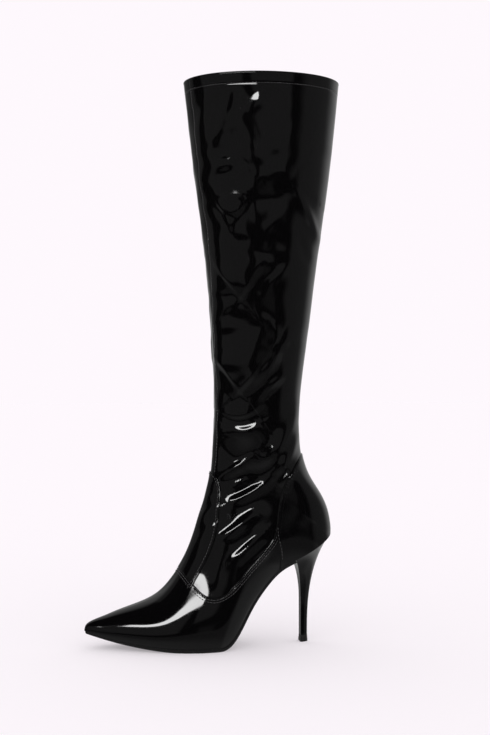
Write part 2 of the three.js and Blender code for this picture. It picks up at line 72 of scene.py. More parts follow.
# along, edge, swing, lean, rise, girth, level, crest, sole
FOOT = np.array([
    (1.0, 0, -1, 0, 0, 0, 0.3, 0, 0.5),
    (0.997, 0.032, -1, -0.002, 0.049, 0.036, 0.3, 0, 0.5),
    (0.986, 0.06, -1, -0.006, 0.086, 0.07, 0.3, 0.02, 0.5),
    (0.964, 0.092, -0.97, -0.009, 0.126, 0.11, 0.29, 0.04, 0.52),
    (0.923, 0.143, -0.88, -0.006, 0.182, 0.17, 0.28, 0.06, 0.58),
    (0.858, 0.226, -0.66, 0, 0.266, 0.26, 0.27, 0.1, 0.7),
    (0.777, 0.322, -0.34, 0.004, 0.356, 0.361, 0.25, 0.14, 0.86),
    (0.692, 0.403, -0.06, 0.013, 0.469, 0.444, 0.23, 0.19, 0.98),
    (0.607, 0.452, 0.18, 0.038, 0.639, 0.493, 0.22, 0.26, 1),
    (0.53, 0.455, 0.4, 0.071, 0.812, 0.5, 0.22, 0.3, 1),
    (0.457, 0.408, 0.53, 0.111, 0.993, 0.474, 0.23, 0.3, 0.94),
    (0.393, 0.337, 0.53, 0.149, 1.02, 0.442, 0.27, 0.26, 0.8),
    (0.328, 0.281, 0.43, 0.1945, 0.905, 0.421, 0.32, 0.21, 0.74),
    (0.259, 0.27, 0.3, 0.2505, 0.818, 0.41, 0.36, 0.17, 0.74),
    (0.19, 0.297, 0.17, 0.31, 0.7865, 0.405, 0.38, 0.13, 0.76),
    (0.13, 0.32, 0.07, 0.365, 0.7885, 0.403, 0.38, 0.1, 0.78),
    (0.077, 0.31, 0, 0.415, 0.782, 0.402, 0.38, 0.08, 0.78),
    (0.036, 0.241, 0, 0.454, 0.776, 0.402, 0.37, 0.06, 0.78),
    (0.0125, 0.13, 0, 0.476, 0.79, 0.403, 0.365, 0.05, 0.78),
    (0.004, 0, 0, 0.4835, 0.829, 0.404, 0.365, 0.04, 0.78),
])
# up, lift, middle, depth, width, level, crest
LEG = np.array([
    (0.0125, 0.821, 0.245, 0.0, 0.1, 0.37, 0.04),
    (0.0498, 0.716, 0.251, 0.103, 0.45, 0.385, 0.03),
    (0.0874, 0.62, 0.2658, 0.3545, 0.8, 0.41, 0.02),
    (0.125, 0.538, 0.286, 0.688, 0.98, 0.44, 0.01),
    (0.167, 0.452, 0.2995, 0.912, 1.0, 0.465, 0),
    (0.2135, 0.375, 0.306, 0.995, 1.0, 0.48, 0),
    (0.2754, 0.298, 0.3067, 1.007, 1.065, 0.485, 0),
    (0.364, 0.212, 0.302, 1.086, 1.24, 0.485, 0),
    (0.4745, 0.125, 0.2935, 1.215, 1.435, 0.485, 0),
    (0.607, 0.058, 0.288, 1.39, 1.63, 0.485, 0),
    (0.751, 0.015, 0.2856, 1.64, 1.8, 0.49, 0),
    (0.884, -0.006, 0.2846, 1.842, 1.913, 0.495, 0),
    (1.0, -0.018, 0.286, 2, 2, 0.5, 0),
])
SEAT = len(FOOT) - 1
COLLAR = SEAT + len(LEG)
print("stations 0 to", COLLAR, "with the heel's seat at", SEAT)

# %% [markdown]
# Smooth curves through the rows
# A last has no kinks from one section to the next. Straight lines between rows would show in a mirror
# finish, so each number of the tables becomes a cubic spline, whose bend changes evenly. Where the back
# edge of the seat makes a corner the spline ends level, so that the sections slow down there and the skin
# stays smooth.


# %% Splines
def spline(knots, values, level_start=False, level_end=False):
    """Cubic spline: the second derivatives at the knots solve the usual three-term equations, and between
    two knots the value is a straight line plus a cubic bow from each side. An end is straight, or level."""
    k, v = np.asarray(knots, float), np.asarray(values, float)
    n, h = len(k), np.diff(k)
    matrix, right = np.zeros((n, n)), np.zeros(n)
    i = np.arange(1, n - 1)
    matrix[i, i - 1], matrix[i, i], matrix[i, i + 1] = h[:-1], 2 * (h[:-1] + h[1:]), h[1:]
    slope = np.diff(v) / h
    right[1:-1] = 6 * np.diff(slope)
    matrix[0, :2], right[0] = ((2 * h[0], h[0]), 6 * slope[0]) if level_start else ((1, 0), 0)
    matrix[-1, -2:], right[-1] = ((h[-1], 2 * h[-1]), -6 * slope[-1]) if level_end else ((0, 1), 0)
    bend = np.linalg.solve(matrix, right)

    def at(x):
        x = np.asarray(x, float)
        j = np.clip(np.searchsorted(k, x, side="right") - 1, 0, n - 2)
        r = (x - k[j]) / h[j]
        left = 1 - r
        bow = (left**3 - left) * bend[j] + (r**3 - r) * bend[j + 1]
        return left * v[j] + r * v[j + 1] + bow * h[j] ** 2 / 6

    return at


sole_line = spline(
    SOLE_LINE[:, 0] * FOOT_LENGTH,
    SOLE_THICKNESS + SOLE_LINE[:, 1] * (HEEL_HEIGHT - SOLE_THICKNESS) + SOLE_LINE[:, 2] * TOE_SPRING,
)
print("the sole's line is", np.round(sole_line([0, 60, 120, 247]), 1), "mm up at 0, 60, 120 and 247 mm")


# %% The boot's curves
def between(stage, sizes):
    """From the heel's size at 0 through the ankle's at 1 to the collar's at 2, in straight lines."""
    return np.interp(stage, (0, 1, 2), sizes)


foot_x = FOOT[:, 0] * FOOT_LENGTH
foot_z = sole_line(foot_x)
leg_depth, leg_z = between(LEG[:, 3], DEPTHS), HEEL_HEIGHT + LEG[:, 0] * SHAFT_HEIGHT
leg_back = LEG[:, 2] * FOOT_LENGTH - leg_depth / 2
count = np.arange(COLLAR + 1)
front_x = spline(count, np.r_[foot_x + FOOT[:, 3] * FOOT_LENGTH, leg_back + leg_depth])
front_z = spline(count, np.r_[foot_z + FOOT[:, 4] * INSTEP_HEIGHT, leg_z + LEG[:, 1] * INSTEP_HEIGHT])
girth = spline(count, np.r_[FOOT[:, 5] * BALL_WIDTH, between(LEG[:, 4], WIDTHS) / 2])
level = spline(count, np.r_[FOOT[:, 6], LEG[:, 5]])
crest = spline(count, np.r_[FOOT[:, 7], LEG[:, 6]])
swing = spline(count, np.r_[FOOT[:, 2] * TOE_SWING, np.zeros(len(LEG))])
sole_x = spline(count[: SEAT + 1], foot_x, level_start=True, level_end=True)
feather = spline(count[: SEAT + 1], FOOT[:, 1] * BALL_WIDTH)
sole_depth = spline(count[: SEAT + 1], FOOT[:, 8] * SOLE_THICKNESS)
back_x = spline(count[SEAT:], np.r_[foot_x[-1], leg_back], level_start=True)
back_z = spline(count[SEAT:], np.r_[foot_z[-1], leg_z], level_start=True)
print("collar from", round(float(back_z(COLLAR)), 1), "to", round(float(front_z(COLLAR)), 1), "mm up")

# %% [markdown]
# The boot's plain form
# Without its folds the boot is one smooth skin. It is a function of two parameters: the station, which
# counts sections from the toe over the heel's seat to the collar, and the turn, an angle round each
# section. A subdivided cage would do as well, but a formula gives an exact normal anywhere, and seams and
# stitches can be laid on it.


# %% Plain form
def base_point(station, turn):
    """Point of the plain form. turn runs from 0 at the outer edge of the sole (or the back) through pi at
    the ridge (or the front) to 2 pi at the inner edge. Up the section goes a share of the way from back to
    front, and sideways half the width of an ellipse, which stops at the feather edge below and is narrowed
    by the crest above."""
    side = np.where(turn <= np.pi, 1.0, -1.0)
    angle = np.where(turn <= np.pi, turn, 2 * np.pi - turn) - np.pi / 2
    on_foot = station <= SEAT
    low, high = np.minimum(station, SEAT), np.maximum(station, SEAT)
    x = np.where(on_foot, sole_x(low), back_x(high))
    z = np.where(on_foot, sole_line(sole_x(low)), back_z(high))
    edge = np.where(on_foot, np.maximum(feather(low), 0), 0)
    wide, middle = np.maximum(girth(station), 0), level(station)
    sine, cosine = np.sin(angle), np.cos(angle)
    share = np.where(angle < 0, middle * (1 + sine), middle + (1 - middle) * sine)
    lower, upper = np.hypot(wide * cosine, edge * sine), wide * cosine * (1 - crest(station) * sine**2)
    y = swing(station) + side * np.where(angle < 0, lower, upper)
    return np.stack([x + share * (front_x(station) - x), y, z + share * (front_z(station) - z)], -1)


def base_normal(station, turn):
    """Outward unit normal: the cross product of the two tangents, each a small central difference."""
    d = 0.02
    inside = np.where(turn <= np.pi, np.clip(turn, d, np.pi - d), np.clip(turn, np.pi + d, 2 * np.pi - d))
    s = np.clip(station, 0.02, COLLAR)
    ahead = np.where(s == SEAT, s, np.minimum(s + d, COLLAR))
    lengthwise = base_point(ahead, inside) - base_point(s - d, inside)
    around = base_point(s, inside + d / 2) - base_point(s, inside - d / 2)
    normal = np.cross(lengthwise, around)
    on_middle = (inside != turn) & ((np.abs(turn - np.pi) <= d) | (station >= SEAT))
    normal[..., 1] = np.where(on_middle, 0, normal[..., 1])
    return normal / np.maximum(np.linalg.norm(normal, axis=-1, keepdims=True), 1e-9)


X_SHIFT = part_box("heel_tip")[0][0] / MM - 23.25  # the back of the counter is x = 0 in the tables
print("tables to row frame: x", round(X_SHIFT, 3), "mm")


def length_of(line):
    """The length of a line of points: the sum of the distances from each to the next."""
    return float(np.linalg.norm(np.diff(line, axis=0), axis=1).sum())


for place, station in (("ball", 9.0), ("ankle", 26.0), ("collar", float(COLLAR))):
    section = base_point(np.full(200, station), np.linspace(0, 2 * np.pi, 200))
    print("round the section at the", place, round(length_of(section)), "mm")

# %% [markdown]
# Seams
# The upper is cut from panels: the vamp with the quarters, the leg, a counter round the heel and a panel on
# the instep. Their edges are easiest to read in the side view, so each seam is a smooth line there. The
# distance to that line, with a sign for the side, then tells for any point of the skin which panel it
# belongs to.

# %% Seams in the side view
# along, as a share of the foot's length, and up, as a share of the heel's height
LEG_SEAM = np.array([
    (0.68, 0.86), (0.626, 0.71), (0.582, 0.587), (0.539, 0.5), (0.491, 0.482), (0.43, 0.558),
    (0.353, 0.739), (0.2915, 0.889), (0.254, 1.015), (0.242, 1.185), (0.23, 1.348), (0.2085, 1.493),
    (0.176, 1.606), (0.1356, 1.697), (0.081, 1.774), (0.0, 1.855),
])
COUNTER_SEAM = np.array([(0.252, 1.1), (0.249, 1.0), (0.236, 0.885), (0.23, 0.77), (0.229, 0.5)])
INSTEP_EDGE = np.array([
    (0.56, 1.63), (0.498, 1.57), (0.4757, 1.52), (0.4676, 1.448), (0.4688, 1.34), (0.4757, 1.22),
    (0.486, 1.068), (0.508, 0.905), (0.5385, 0.76), (0.5725, 0.634), (0.6, 0.54),
])
RUN_ON = 60  # how far a seam is run on past its ends, so that it cuts right through


def seam_line(rows, steps=12):
    """Points of a seam in the side view, in mm: cubic splines through the rows, run on straight at each
    end."""
    at = np.linspace(0, len(rows) - 1, steps * (len(rows) - 1) + 1)
    line = np.stack([
        spline(np.arange(len(rows)), rows[:, 0] * FOOT_LENGTH)(at),
        spline(np.arange(len(rows)), rows[:, 1] * HEEL_HEIGHT)(at),
    ], -1)
    ends = np.array([line[0] - line[1], line[-1] - line[-2]])
    ends *= RUN_ON / np.linalg.norm(ends, axis=1, keepdims=True)
    return np.vstack([line[0] + ends[0], line, line[-1] + ends[1]])


def nearest(spots, line):
    """For spots of the side view, the distance to the nearest piece of a line, and how far along the line
    that is, from 0 to 1. The distance is more than 0 above a line that runs from front to back, and behind
    a line that runs down."""
    step = np.diff(line, axis=0)
    away = spots[:, None] - line[:-1]
    along = np.clip((away * step).sum(-1) / (step**2).sum(-1), 0, 1)
    away = away - along[..., None] * step
    gap = np.hypot(away[..., 0], away[..., 1])
    near, i = gap.argmin(1), np.arange(len(spots))
    over = away[i, near, 0] * step[near, 1] > away[i, near, 1] * step[near, 0]
    return np.where(over, 1, -1) * gap[i, near], (near + along[i, near]) / len(step)


def seam_distance(points, line):
    """The signed distance in the side view from each point to a seam."""
    return nearest(points[..., [0, 2]].reshape(-1, 2), line)[0].reshape(points.shape[:-1])


leg_seam, counter_seam, instep_edge = map(seam_line, (LEG_SEAM, COUNTER_SEAM, INSTEP_EDGE))
for name, line in (("leg", leg_seam), ("counter", counter_seam), ("instep", instep_edge)):
    print(name, "seam is", round(length_of(line[1:-1])), "mm in the side view")

# %% [markdown]
# The photograph's camera
# The folds are to lie where the photograph shows them, so they were placed on it, in its pixels. Its
# camera was worked out from the arc of the collar and the two places where the boot stands: 1.2 m away,
# level with the middle of the boot, turned ten degrees towards the toe. A pixel's ray could be cut with the
# form exactly. A fine grid of the form's points is searched instead, which is shorter and good to a
# millimetre, about a pixel.

# %% What the photograph shows at a pixel
PHOTO_WIDTH, PHOTO_HEIGHT, FOCAL = 490, 735, 1200  # in pixels
DISTANCE, TURNED, HEIGHT = 1200, math.radians(10), 277
ASIDE, AIM = 35, 123  # how far to the right it stands of what it looks at, and where that lies
backwards = np.array([math.sin(TURNED), math.cos(TURNED), 0])
to_right = np.array([-math.cos(TURNED), math.sin(TURNED), 0])
eye = DISTANCE * backwards + ASIDE * to_right + (AIM, 0, HEIGHT)
S, T = np.meshgrid(np.linspace(0, COLLAR, 1601), np.linspace(0, np.pi, 361), indexing="ij")
facing = ((eye - base_point(S, T)) * base_normal(S, T)).sum(-1) > 0
shown = base_point(S, T)[facing]
depth = (eye - shown) @ backwards
shown_right = PHOTO_WIDTH / 2 + FOCAL * ((shown - eye) @ to_right) / depth
shown_down = PHOTO_HEIGHT / 2 + FOCAL * (eye[2] - shown[:, 2]) / depth


def spot_at(right, down):
    """Along and up the boot, in whole mm, of the point that the photograph shows there: of the form's
    points that face the camera, the one whose picture is the nearest."""
    near = ((shown_right - right) ** 2 + (shown_down - down) ** 2).argmin()
    return np.round(shown[near, [0, 2]])


print("the middle of the photograph shows the boot at", spot_at(PHOTO_WIDTH / 2, PHOTO_HEIGHT / 2), "mm")

# %% [markdown]
# Folds
# Stretch patent creases where the leg bends: sharp folds run up and back from the instep, and longer ones
# cross on the calf. A cloth solver would make folds of its own, in other places. These are laid one by one,
# each a line with a height and a width on either side, because the mirror finish shows every one of them as
# a streak of light.

# %% Folds laid one by one
# from, over and to, in pixels of the photograph, then height, half width above the line and below it, in mm
FOLDS = np.array([
    # ankle
    (219, 479, 237, 467, 255, 454, 3.3, 3.8, 8),
    (231, 436, 227, 458, 230, 480, 1.9, 12, 16),
    (226, 425, 243, 432, 261, 424, 2.6, 5, 12),
    (229, 486, 238, 483, 248, 477, 1.5, 3.6, 5),
    (229, 503, 248, 494, 271, 479, 2.8, 3.3, 5.5),
    (219, 539, 237, 527, 256, 511, 2.8, 3.3, 6),
    (230, 562, 247, 548, 264, 531, 2.1, 3.2, 7),
    (247, 567, 262, 555, 278, 540, 1, 3, 5),
    (254, 466, 281, 443, 297, 406, 2.5, 7, 7),
    (262, 482, 287, 458, 297, 430, 2.4, 6, 6),
    (278, 485, 286, 477, 292, 469, 2.2, 3, 6),
    # instep
    (206, 500, 213, 494, 219, 500, 0.7, 3, 3),
    (198, 520, 209, 511, 219, 508, 1, 4, 4),
    (197, 548, 206, 533, 217, 524, 1, 4, 5),
    (197, 572, 203, 556, 212, 537, 0.5, 5, 5),
    (215, 582, 219, 566, 225, 550, 0.5, 4, 5),
    (234, 580, 238, 564, 246, 556, 0.8, 4, 5),
    # middle of the leg
    (214, 199, 232, 212, 250, 196, 1.4, 26, 2.8),
    (214, 260, 229, 280, 247, 303, 2, 26, 2.4),
    (234, 303, 249, 284, 264, 256, 2, 26, 2.4),
    (214, 352, 230, 374, 247, 398, 2.2, 30, 2.5),
    (232, 398, 250, 377, 270, 350, 2.2, 30, 2.5),
    (220, 408, 240, 415, 264, 402, 1.6, 16, 3),
    (262, 184, 276, 178, 291, 182, 1.8, 50, 10),
    (259, 160, 256, 205, 266, 242, 0.7, 5, 5),
    (262, 246, 272, 226, 281, 211, 0.8, 5, 6),
    (262, 294, 277, 277, 292, 262, 1.2, 5, 5),
    (297, 190, 311, 222, 319, 246, 2, 6, 6),
    (299, 234, 303, 249, 309, 263, -0.8, 5, 5),
    (244, 387, 270, 362, 291, 330, 1.6, 4, 6),
    (257, 398, 271, 385, 286, 373, 1.2, 4, 4),
    (212, 230, 220, 262, 216, 300, 1.2, 7, 7),
    (206, 300, 214, 335, 222, 372, 1.2, 7, 6),
    (256, 300, 262, 330, 252, 360, 1.2, 6, 8),
    (270, 320, 276, 338, 268, 356, 1, 5, 5),
    (205, 392, 214, 420, 226, 436, 1.2, 6, 6),
    (216, 196, 224, 212, 236, 235, 1.3, 10, 2.4),
    (227, 235, 237, 214, 247, 196, 1.3, 10, 2.4),
    # top of the leg
    (245, 109, 254, 103, 265, 95, 1, 5, 8),
    (226, 123, 238, 117, 252, 112, 0.5, 5, 7),
    (216, 168, 230, 158, 242, 148, 1.2, 6, 6),
    (214, 186, 230, 180, 242, 172, 1, 5, 5),
    (230, 90, 223, 115, 208, 154, 1.2, 3, 3),
    (207, 88, 203, 110, 201, 128, 1, 5, 5),
    (247, 125, 252, 150, 246, 180, 0.25, 4, 5),
])
places = [spot_at(right, down) for right, down in FOLDS[:, :6].reshape(-1, 2)]
outer_folds = np.c_[np.ones(len(FOLDS)), np.reshape(places, (-1, 6)), FOLDS[:, 6:]]
inner_folds = outer_folds.copy()  # the inner side has much the same folds, a little off and lower
inner_folds[:, 0] = -1
inner_folds[:, [2, 4, 6]] += 4 * np.sin(outer_folds[:, 2:3])
inner_folds[:, 7] *= 0.8
RIDGES = np.vstack([outer_folds, inner_folds])  # side, three spots of the side view, height, two half widths
# the slack between the folds: wave length in mm, direction in degrees in the side view, start, height in mm
SLACK = (
    (34, 64, 0.4, 0.22), (23, 118, 1.9, 0.12), (17, 78, 2.6, 0.07), (46, 12, 0.9, 0.3), (27, 155, 4.1, 0.12),
)
# heights on the boot in mm and how strong the slack is there, all round and added at the front
SLACK_UP = (70, 120, 245, 290, 490, 525), (0, 0.3, 0.3, 1, 1, 0.3)
FRONT_SLACK_UP = (260, 300, 400, 450, 530, 548), (0, 0.6, 0.6, 1.3, 1.3, 0)
REACH = 2.6  # half widths past which a fold is too low to see
print(len(RIDGES), "folds, the highest", RIDGES[:, 7].max(), "mm")


# %% Height of the folds
def fold_line(fold):
    """The line of a fold in the side view: a parabola through its three points, in 16 steps."""
    a, b, c = fold[1:3], fold[3:5], fold[5:7]
    t = np.linspace(0, 1, 17)[:, None]
    return (1 - t) ** 2 * a + 2 * t * (1 - t) * (2 * b - (a + c) / 2) + t**2 * c


def ridge(spots, line, height, above, below):
    """A fold's height at spots of the side view: a bell curve of the distance to its line, with one width
    above it and another below, times a sine that fades to the line's ends."""
    gap, place = nearest(spots, line)
    fade = np.sin(np.pi * (0.05 + 0.9 * place)) ** 0.8
    return height * fade * np.exp(-((gap / np.where(gap > 0, above, below)) ** 2))


def slack_waves(x, z, side):
    """Low waves between the folds: sines across the side view, strongest by the front of the calf and the
    knee."""
    soft = np.clip((x - 30) / 35, 0.35, 1) * np.interp(z, *SLACK_UP)
    soft += np.clip((x - 92) / 18, 0, 1) * np.interp(z, *FRONT_SLACK_UP)
    length, way, start, height = np.array(SLACK).T
    way = np.radians(way)
    wave = 2 * np.pi * (x[..., None] * np.cos(way) + z[..., None] * np.sin(way)) / length
    return soft * (height * np.sin(wave + start + side[..., None] + 0.8 * np.sin(0.37 * wave))).sum(-1)


def folds(points, turn):
    """How far the skin stands off the plain form: the folds and the slack waves, faded to the middle of
    front and back."""
    side = np.where(turn <= np.pi, 1.0, -1.0)
    spots = points[..., [0, 2]]
    off = slack_waves(spots[..., 0], spots[..., 1], side)
    for fold in RIDGES:
        line, reach = fold_line(fold), REACH * max(fold[8:])
        low, high = line.min(0) - reach, line.max(0) + reach
        close = (side == fold[0]) & ((spots > low) & (spots < high)).all(-1)
        off[close] += ridge(spots[close], line, *fold[7:])
    edge = np.clip(np.abs(np.sin(turn)) / 0.35, 0, 1)
    return off * edge * edge * (3 - 2 * edge)


half_round = np.linspace(0, np.pi, 91)
ankle = folds(base_point(np.full(91, 20.6), half_round), half_round)
lowest, highest = round(float(ankle.min()), 2), round(float(ankle.max()), 2)
print("across the ankle the folds stand", lowest, "to", highest, "mm off the plain form")

# %% [markdown]
# The skin
# The leg's top is turned in and stitched once, which pulls a shallow groove into the patent. The groove is
# a bell curve of the height about the stitch line. With it and the folds, one function gives the whole
# skin, and a lift puts a second layer, such as the counter, on top of the first.

# %% Skin
HEM = 10.5  # how far the stitch line lies below the collar
near_top = np.linspace(COLLAR - 1, COLLAR, 99)
hem_station = float(np.interp(float(back_z(COLLAR)) - HEM, back_z(near_top), near_top))


def pressed(station):
    """Where the hem's stitches pull the skin in: a narrow bell curve of the height about the stitch
    line."""
    rise = (station - hem_station) * float(back_z(COLLAR) - back_z(COLLAR - 1))
    return -0.3 * np.exp(-(rise**2))


def skin(station, turn, lift=0.0):
    """The boot's surface with its folds: the plain point moved along its normal by the folds, the groove
    and a lift."""
    point = base_point(station, turn)
    off = folds(point, turn) + pressed(station) + lift
    return point + base_normal(station, turn) * off[..., None]


print("hem stitched at station", round(hem_station, 3))

# %% [markdown]
# From points to pieces
# A panel starts as a grid of points on the skin. Blender takes the points and four-sided faces as they are.
# Where the grid closes on itself, points that lie together are welded, so that no seam or pole stays open.


# %% Pieces
def make(name, points, faces, material, slot, nodes=()):
    """A mesh object at the origin from points in mm and faces, shaded smooth, that rides on the boot's
    body."""
    mesh = bpy.data.meshes.new(name)
    place = (np.asarray(points) + (X_SHIFT, 0, 0)) * MM
    mesh.from_pydata(place.tolist(), [], np.asarray(faces).tolist())
    mesh.polygons.foreach_set("use_smooth", np.ones(len(mesh.polygons), bool))
    mesh.update()
    piece = bpy.data.objects.new(name, mesh)
    bpy.context.collection.objects.link(piece)
    mesh.materials.append(material)
    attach(piece, "root")
    if nodes:
        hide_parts(*nodes)
    size = np.ptp(place, axis=0) / MM
    print(f"{name}: {len(mesh.polygons)} faces, {size[0]:.0f} x {size[1]:.0f} x {size[2]:.0f} mm")
    return piece


def grid_faces(rows, columns, wrap=False):
    """Four-sided faces of a grid of points, numbered row by row. wrap joins the last column to the
    first."""
    r = np.arange(rows - 1)[:, None] * columns
    c = np.arange(columns if wrap else columns - 1)
    n = (c + 1) % columns
    return np.stack([r + c, r + c + columns, r + n + columns, r + n], -1).reshape(-1, 4)


def weld(points, faces, near=1e-3):
    """Points that lie together become one: their places, rounded, are looked up in a list of the different
    ones. Faces that lose a corner by this are dropped."""
    rounded = np.round(points / near).astype(np.int64)
    _, first, same = np.unique(rounded, axis=0, return_index=True, return_inverse=True)
    faces = same.ravel()[faces]
    return points[first], faces[(np.diff(np.sort(faces, 1), axis=1) > 0).all(1)]


print("a grid of 3 by 4 points has", len(grid_faces(3, 4)), "faces")

# %% [markdown]
# Cutting along a seam
# A cutter follows the pattern's line. A boolean would do it on the solids, and leave long thin triangles in
# a mirror finish. Here each triangle that the seam crosses is cut where the signed distance is 0, so the
# edge is as smooth as the line. A thin panel gets its wall from the Solidify modifier, inwards, as leather
# has its thickness.


# %% Cutting
def trim(points, faces, *fields):
    """Keeps the part of a mesh where every field is more than 0. Each edge with one end outside gets a new
    point at the share of its length where the field is 0, and the triangles are put together again from
    what is left."""
    fields = [np.asarray(f, float).ravel() for f in fields]
    tri = np.vstack([faces[:, [0, 1, 2]], faces[:, [0, 2, 3]]])
    for k in range(len(fields)):
        f = fields[k]
        inside = f[tri] > 0
        n = inside.sum(1)
        whole, one, two = tri[n == 3], tri[n == 1], tri[n == 2]
        one = np.take_along_axis(one, (inside[n == 1].argmax(1)[:, None] + np.arange(3)) % 3, 1)
        two = np.take_along_axis(two, ((~inside[n == 2]).argmax(1)[:, None] + np.arange(3)) % 3, 1)
        pairs = np.vstack([one[:, [0, 1]], one[:, [0, 2]], two[:, [0, 1]], two[:, [0, 2]]])
        edges, same = np.unique(np.sort(pairs, 1), axis=0, return_inverse=True)
        same = same.ravel() + len(points)
        t = (f[edges[:, 0]] / (f[edges[:, 0]] - f[edges[:, 1]]))[:, None]
        points = np.vstack([points, points[edges[:, 0]] * (1 - t) + points[edges[:, 1]] * t])
        fields = [np.r_[g, g[edges[:, 0]] * (1 - t[:, 0]) + g[edges[:, 1]] * t[:, 0]] for g in fields]
        a, b, c, d = np.split(same, np.cumsum([len(one), len(one), len(two)]))
        tri = np.vstack([
            whole,
            np.stack([one[:, 0], a, b], 1),
            np.stack([c, two[:, 1], two[:, 2]], 1),
            np.stack([c, two[:, 2], d], 1),
        ])
    used, tri = np.unique(tri, return_inverse=True)
    return points[used], tri.reshape(-1, 3)


corners, cut = np.array([(0, 0, 0), (1, 0, 0), (1, 1, 0), (0, 1, 0.0)]), [0.5, -0.5, -0.5, 0.5]
kept, triangles = trim(corners, np.array([[0, 1, 2, 3]]), cut)
print("a square cut in half keeps", len(triangles), "triangles up to x =", kept[:, 0].max())


# %% Walls and even sections
def wall(piece, thickness, inner=None):
    """A wall of that thickness in mm, inwards. inner is the material of its inner face."""
    solid = piece.modifiers.new("wall", "SOLIDIFY")
    solid.thickness, solid.offset = thickness * MM, -1
    solid.use_even_offset = False
    if inner:
        piece.data.materials.append(inner)
        solid.material_offset = 1
    return piece


def stations_between(start, end, gap):
    """Stations so close that neighbouring sections are at most gap(z) apart at the back, the side and the
    front: the length along the form, divided by the gap, is counted off in equal steps."""
    fine = np.linspace(start, end, 4001)
    line = base_point(fine[:, None], np.array([[0.02, np.pi / 2, np.pi]]))
    step = np.linalg.norm(np.diff(line, axis=0), axis=-1) / gap(line[1:, :, 2])
    length = np.r_[0, step.max(1).cumsum()]
    return np.interp(np.linspace(0, length[-1], int(np.ceil(length[-1])) + 1), length, fine)


coarse = stations_between(0, COLLAR, lambda z: np.full(z.shape, 5.0))
print("sections from toe to collar, 5 mm apart:", len(coarse))

# %% [markdown]
# Nodes for the finishes
# A finish is a small program of nodes. These helpers add a node and join it in one line. All patterns read
# the object's own coordinates in metres, so that they stay put when the boot is turned or exported.


# %% Nodes in one line
def add(tree, kind, *values, settings=None, **inputs):
    """A shader node of that kind. values fill its inputs in order, inputs by name: a number, a colour or a
    socket."""
    made = tree.nodes.new("ShaderNode" + kind)
    for key, value in (settings or {}).items():
        setattr(made, key, value)
    pairs = list(zip(made.inputs, values))
    pairs += [(made.inputs[key.replace("_", " ")], value) for key, value in inputs.items()]
    for socket, value in pairs:
        if isinstance(value, bpy.types.NodeSocket):
            tree.links.new(value, socket)
        else:
            socket.default_value = value
    return made


def sum_of(tree, kind, *values):
    """The result of a Math node: MULTIPLY, ADD and so on."""
    return add(tree, "Math", *values, settings={"operation": kind}).outputs[0]


def ranged(tree, value, from_low, from_high, low, high, smooth=False):
    """value between from_low and from_high mapped to low and high, and held there outside."""
    settings = {"interpolation_type": "SMOOTHSTEP" if smooth else "LINEAR"}
    return add(tree, "MapRange", value, from_low, from_high, low, high, settings=settings).outputs["Result"]


# %% Patterns, relief and materials
def place_of(tree, stretch=(1, 1, 1)):
    """The point in the object's own metres, stretched."""
    place = add(tree, "TexCoord").outputs["Object"]
    return add(tree, "Mapping", Vector=place, Scale=stretch).outputs[0]


def noise(tree, scale, detail=2.0, stretch=(1, 1, 1)):
    """Cloudy noise from 0 to 1 with about scale patches to the metre."""
    return add(tree, "TexNoise", Vector=place_of(tree, stretch), Scale=scale, Detail=detail).outputs[0]


def height_of(tree):
    """How many metres the point lies above the floor."""
    return add(tree, "SeparateXYZ", place_of(tree)).outputs["Z"]


def bump(tree, height, distance, under=None):
    """The normal over a relief that is distance metres deep, laid on the relief under it."""
    made = add(tree, "Bump", Height=height, Distance=distance)
    if under is not None:
        tree.links.new(under, made.inputs["Normal"])
    return made.outputs[0]


def finish_of(name, colour, roughness, relief=None, **sockets):
    """A material with one Principled shader. relief(tree, shader) adds its nodes."""
    material = bpy.data.materials.new(name)
    material.use_nodes = True
    shader = material.node_tree.nodes["Principled BSDF"]
    shader.inputs["Base Color"].default_value = (*colour, 1)
    shader.inputs["Roughness"].default_value = roughness
    for socket, value in sockets.items():
        shader.inputs[socket.replace("_", " ")].default_value = value
    if relief:
        relief(material.node_tree, shader)
    print(name, "has", len(material.node_tree.nodes), "nodes")
    return material


# %% [markdown]
# Patent
# Patent is leather or cloth under a clear, hard film. It is black and mirror-like, with a faint orange
# peel, a soft unevenness of the cloth beneath, wiped patches, a few handling marks, and scuffs near the
# ground. A single roughness would look like plastic, so noise drives it, and two layers of relief bend the
# reflections. The black itself is one number on the shader.


# %% Patent finishes
def patent_relief(cloth):
    """Nodes of a patent whose cloth shows through cloth metres deep."""
    def relief(tree, shader):
        film = ranged(tree, noise(tree, 40, 3, (1, 1, 0.4)), 0.3, 0.7, 0.035, 0.07)
        marks = ranged(tree, noise(tree, 150, 5), 0.62, 0.78, 0.0, 0.1)
        scuffs = ranged(tree, height_of(tree), 0.0, 0.03, 0.07, 0.0)
        roughness = sum_of(tree, "ADD", film, sum_of(tree, "ADD", marks, scuffs))
        tree.links.new(roughness, shader.inputs["Roughness"])
        waves = bump(tree, noise(tree, 45, 1), cloth)
        tree.links.new(bump(tree, noise(tree, 700, 2), 3e-6, waves), shader.inputs["Normal"])
    return relief


BLACK = (0.0014, 0.0013, 0.0015)
patent = finish_of("patent", BLACK, 0.05, patent_relief(5e-5))
stretch_patent = finish_of("stretch_patent", BLACK, 0.05, patent_relief(1.6e-4))
heel_patent = finish_of("heel_patent", BLACK, 0.06, patent_relief(2e-5))

# %% [markdown]
# Lining
# A stretch boot is lined with a knit that gives with the leg. Its loops are too small to model one by one,
# so two bands of waves, one up and one across, are multiplied into loops. They drive the relief and the
# sheen's roughness.


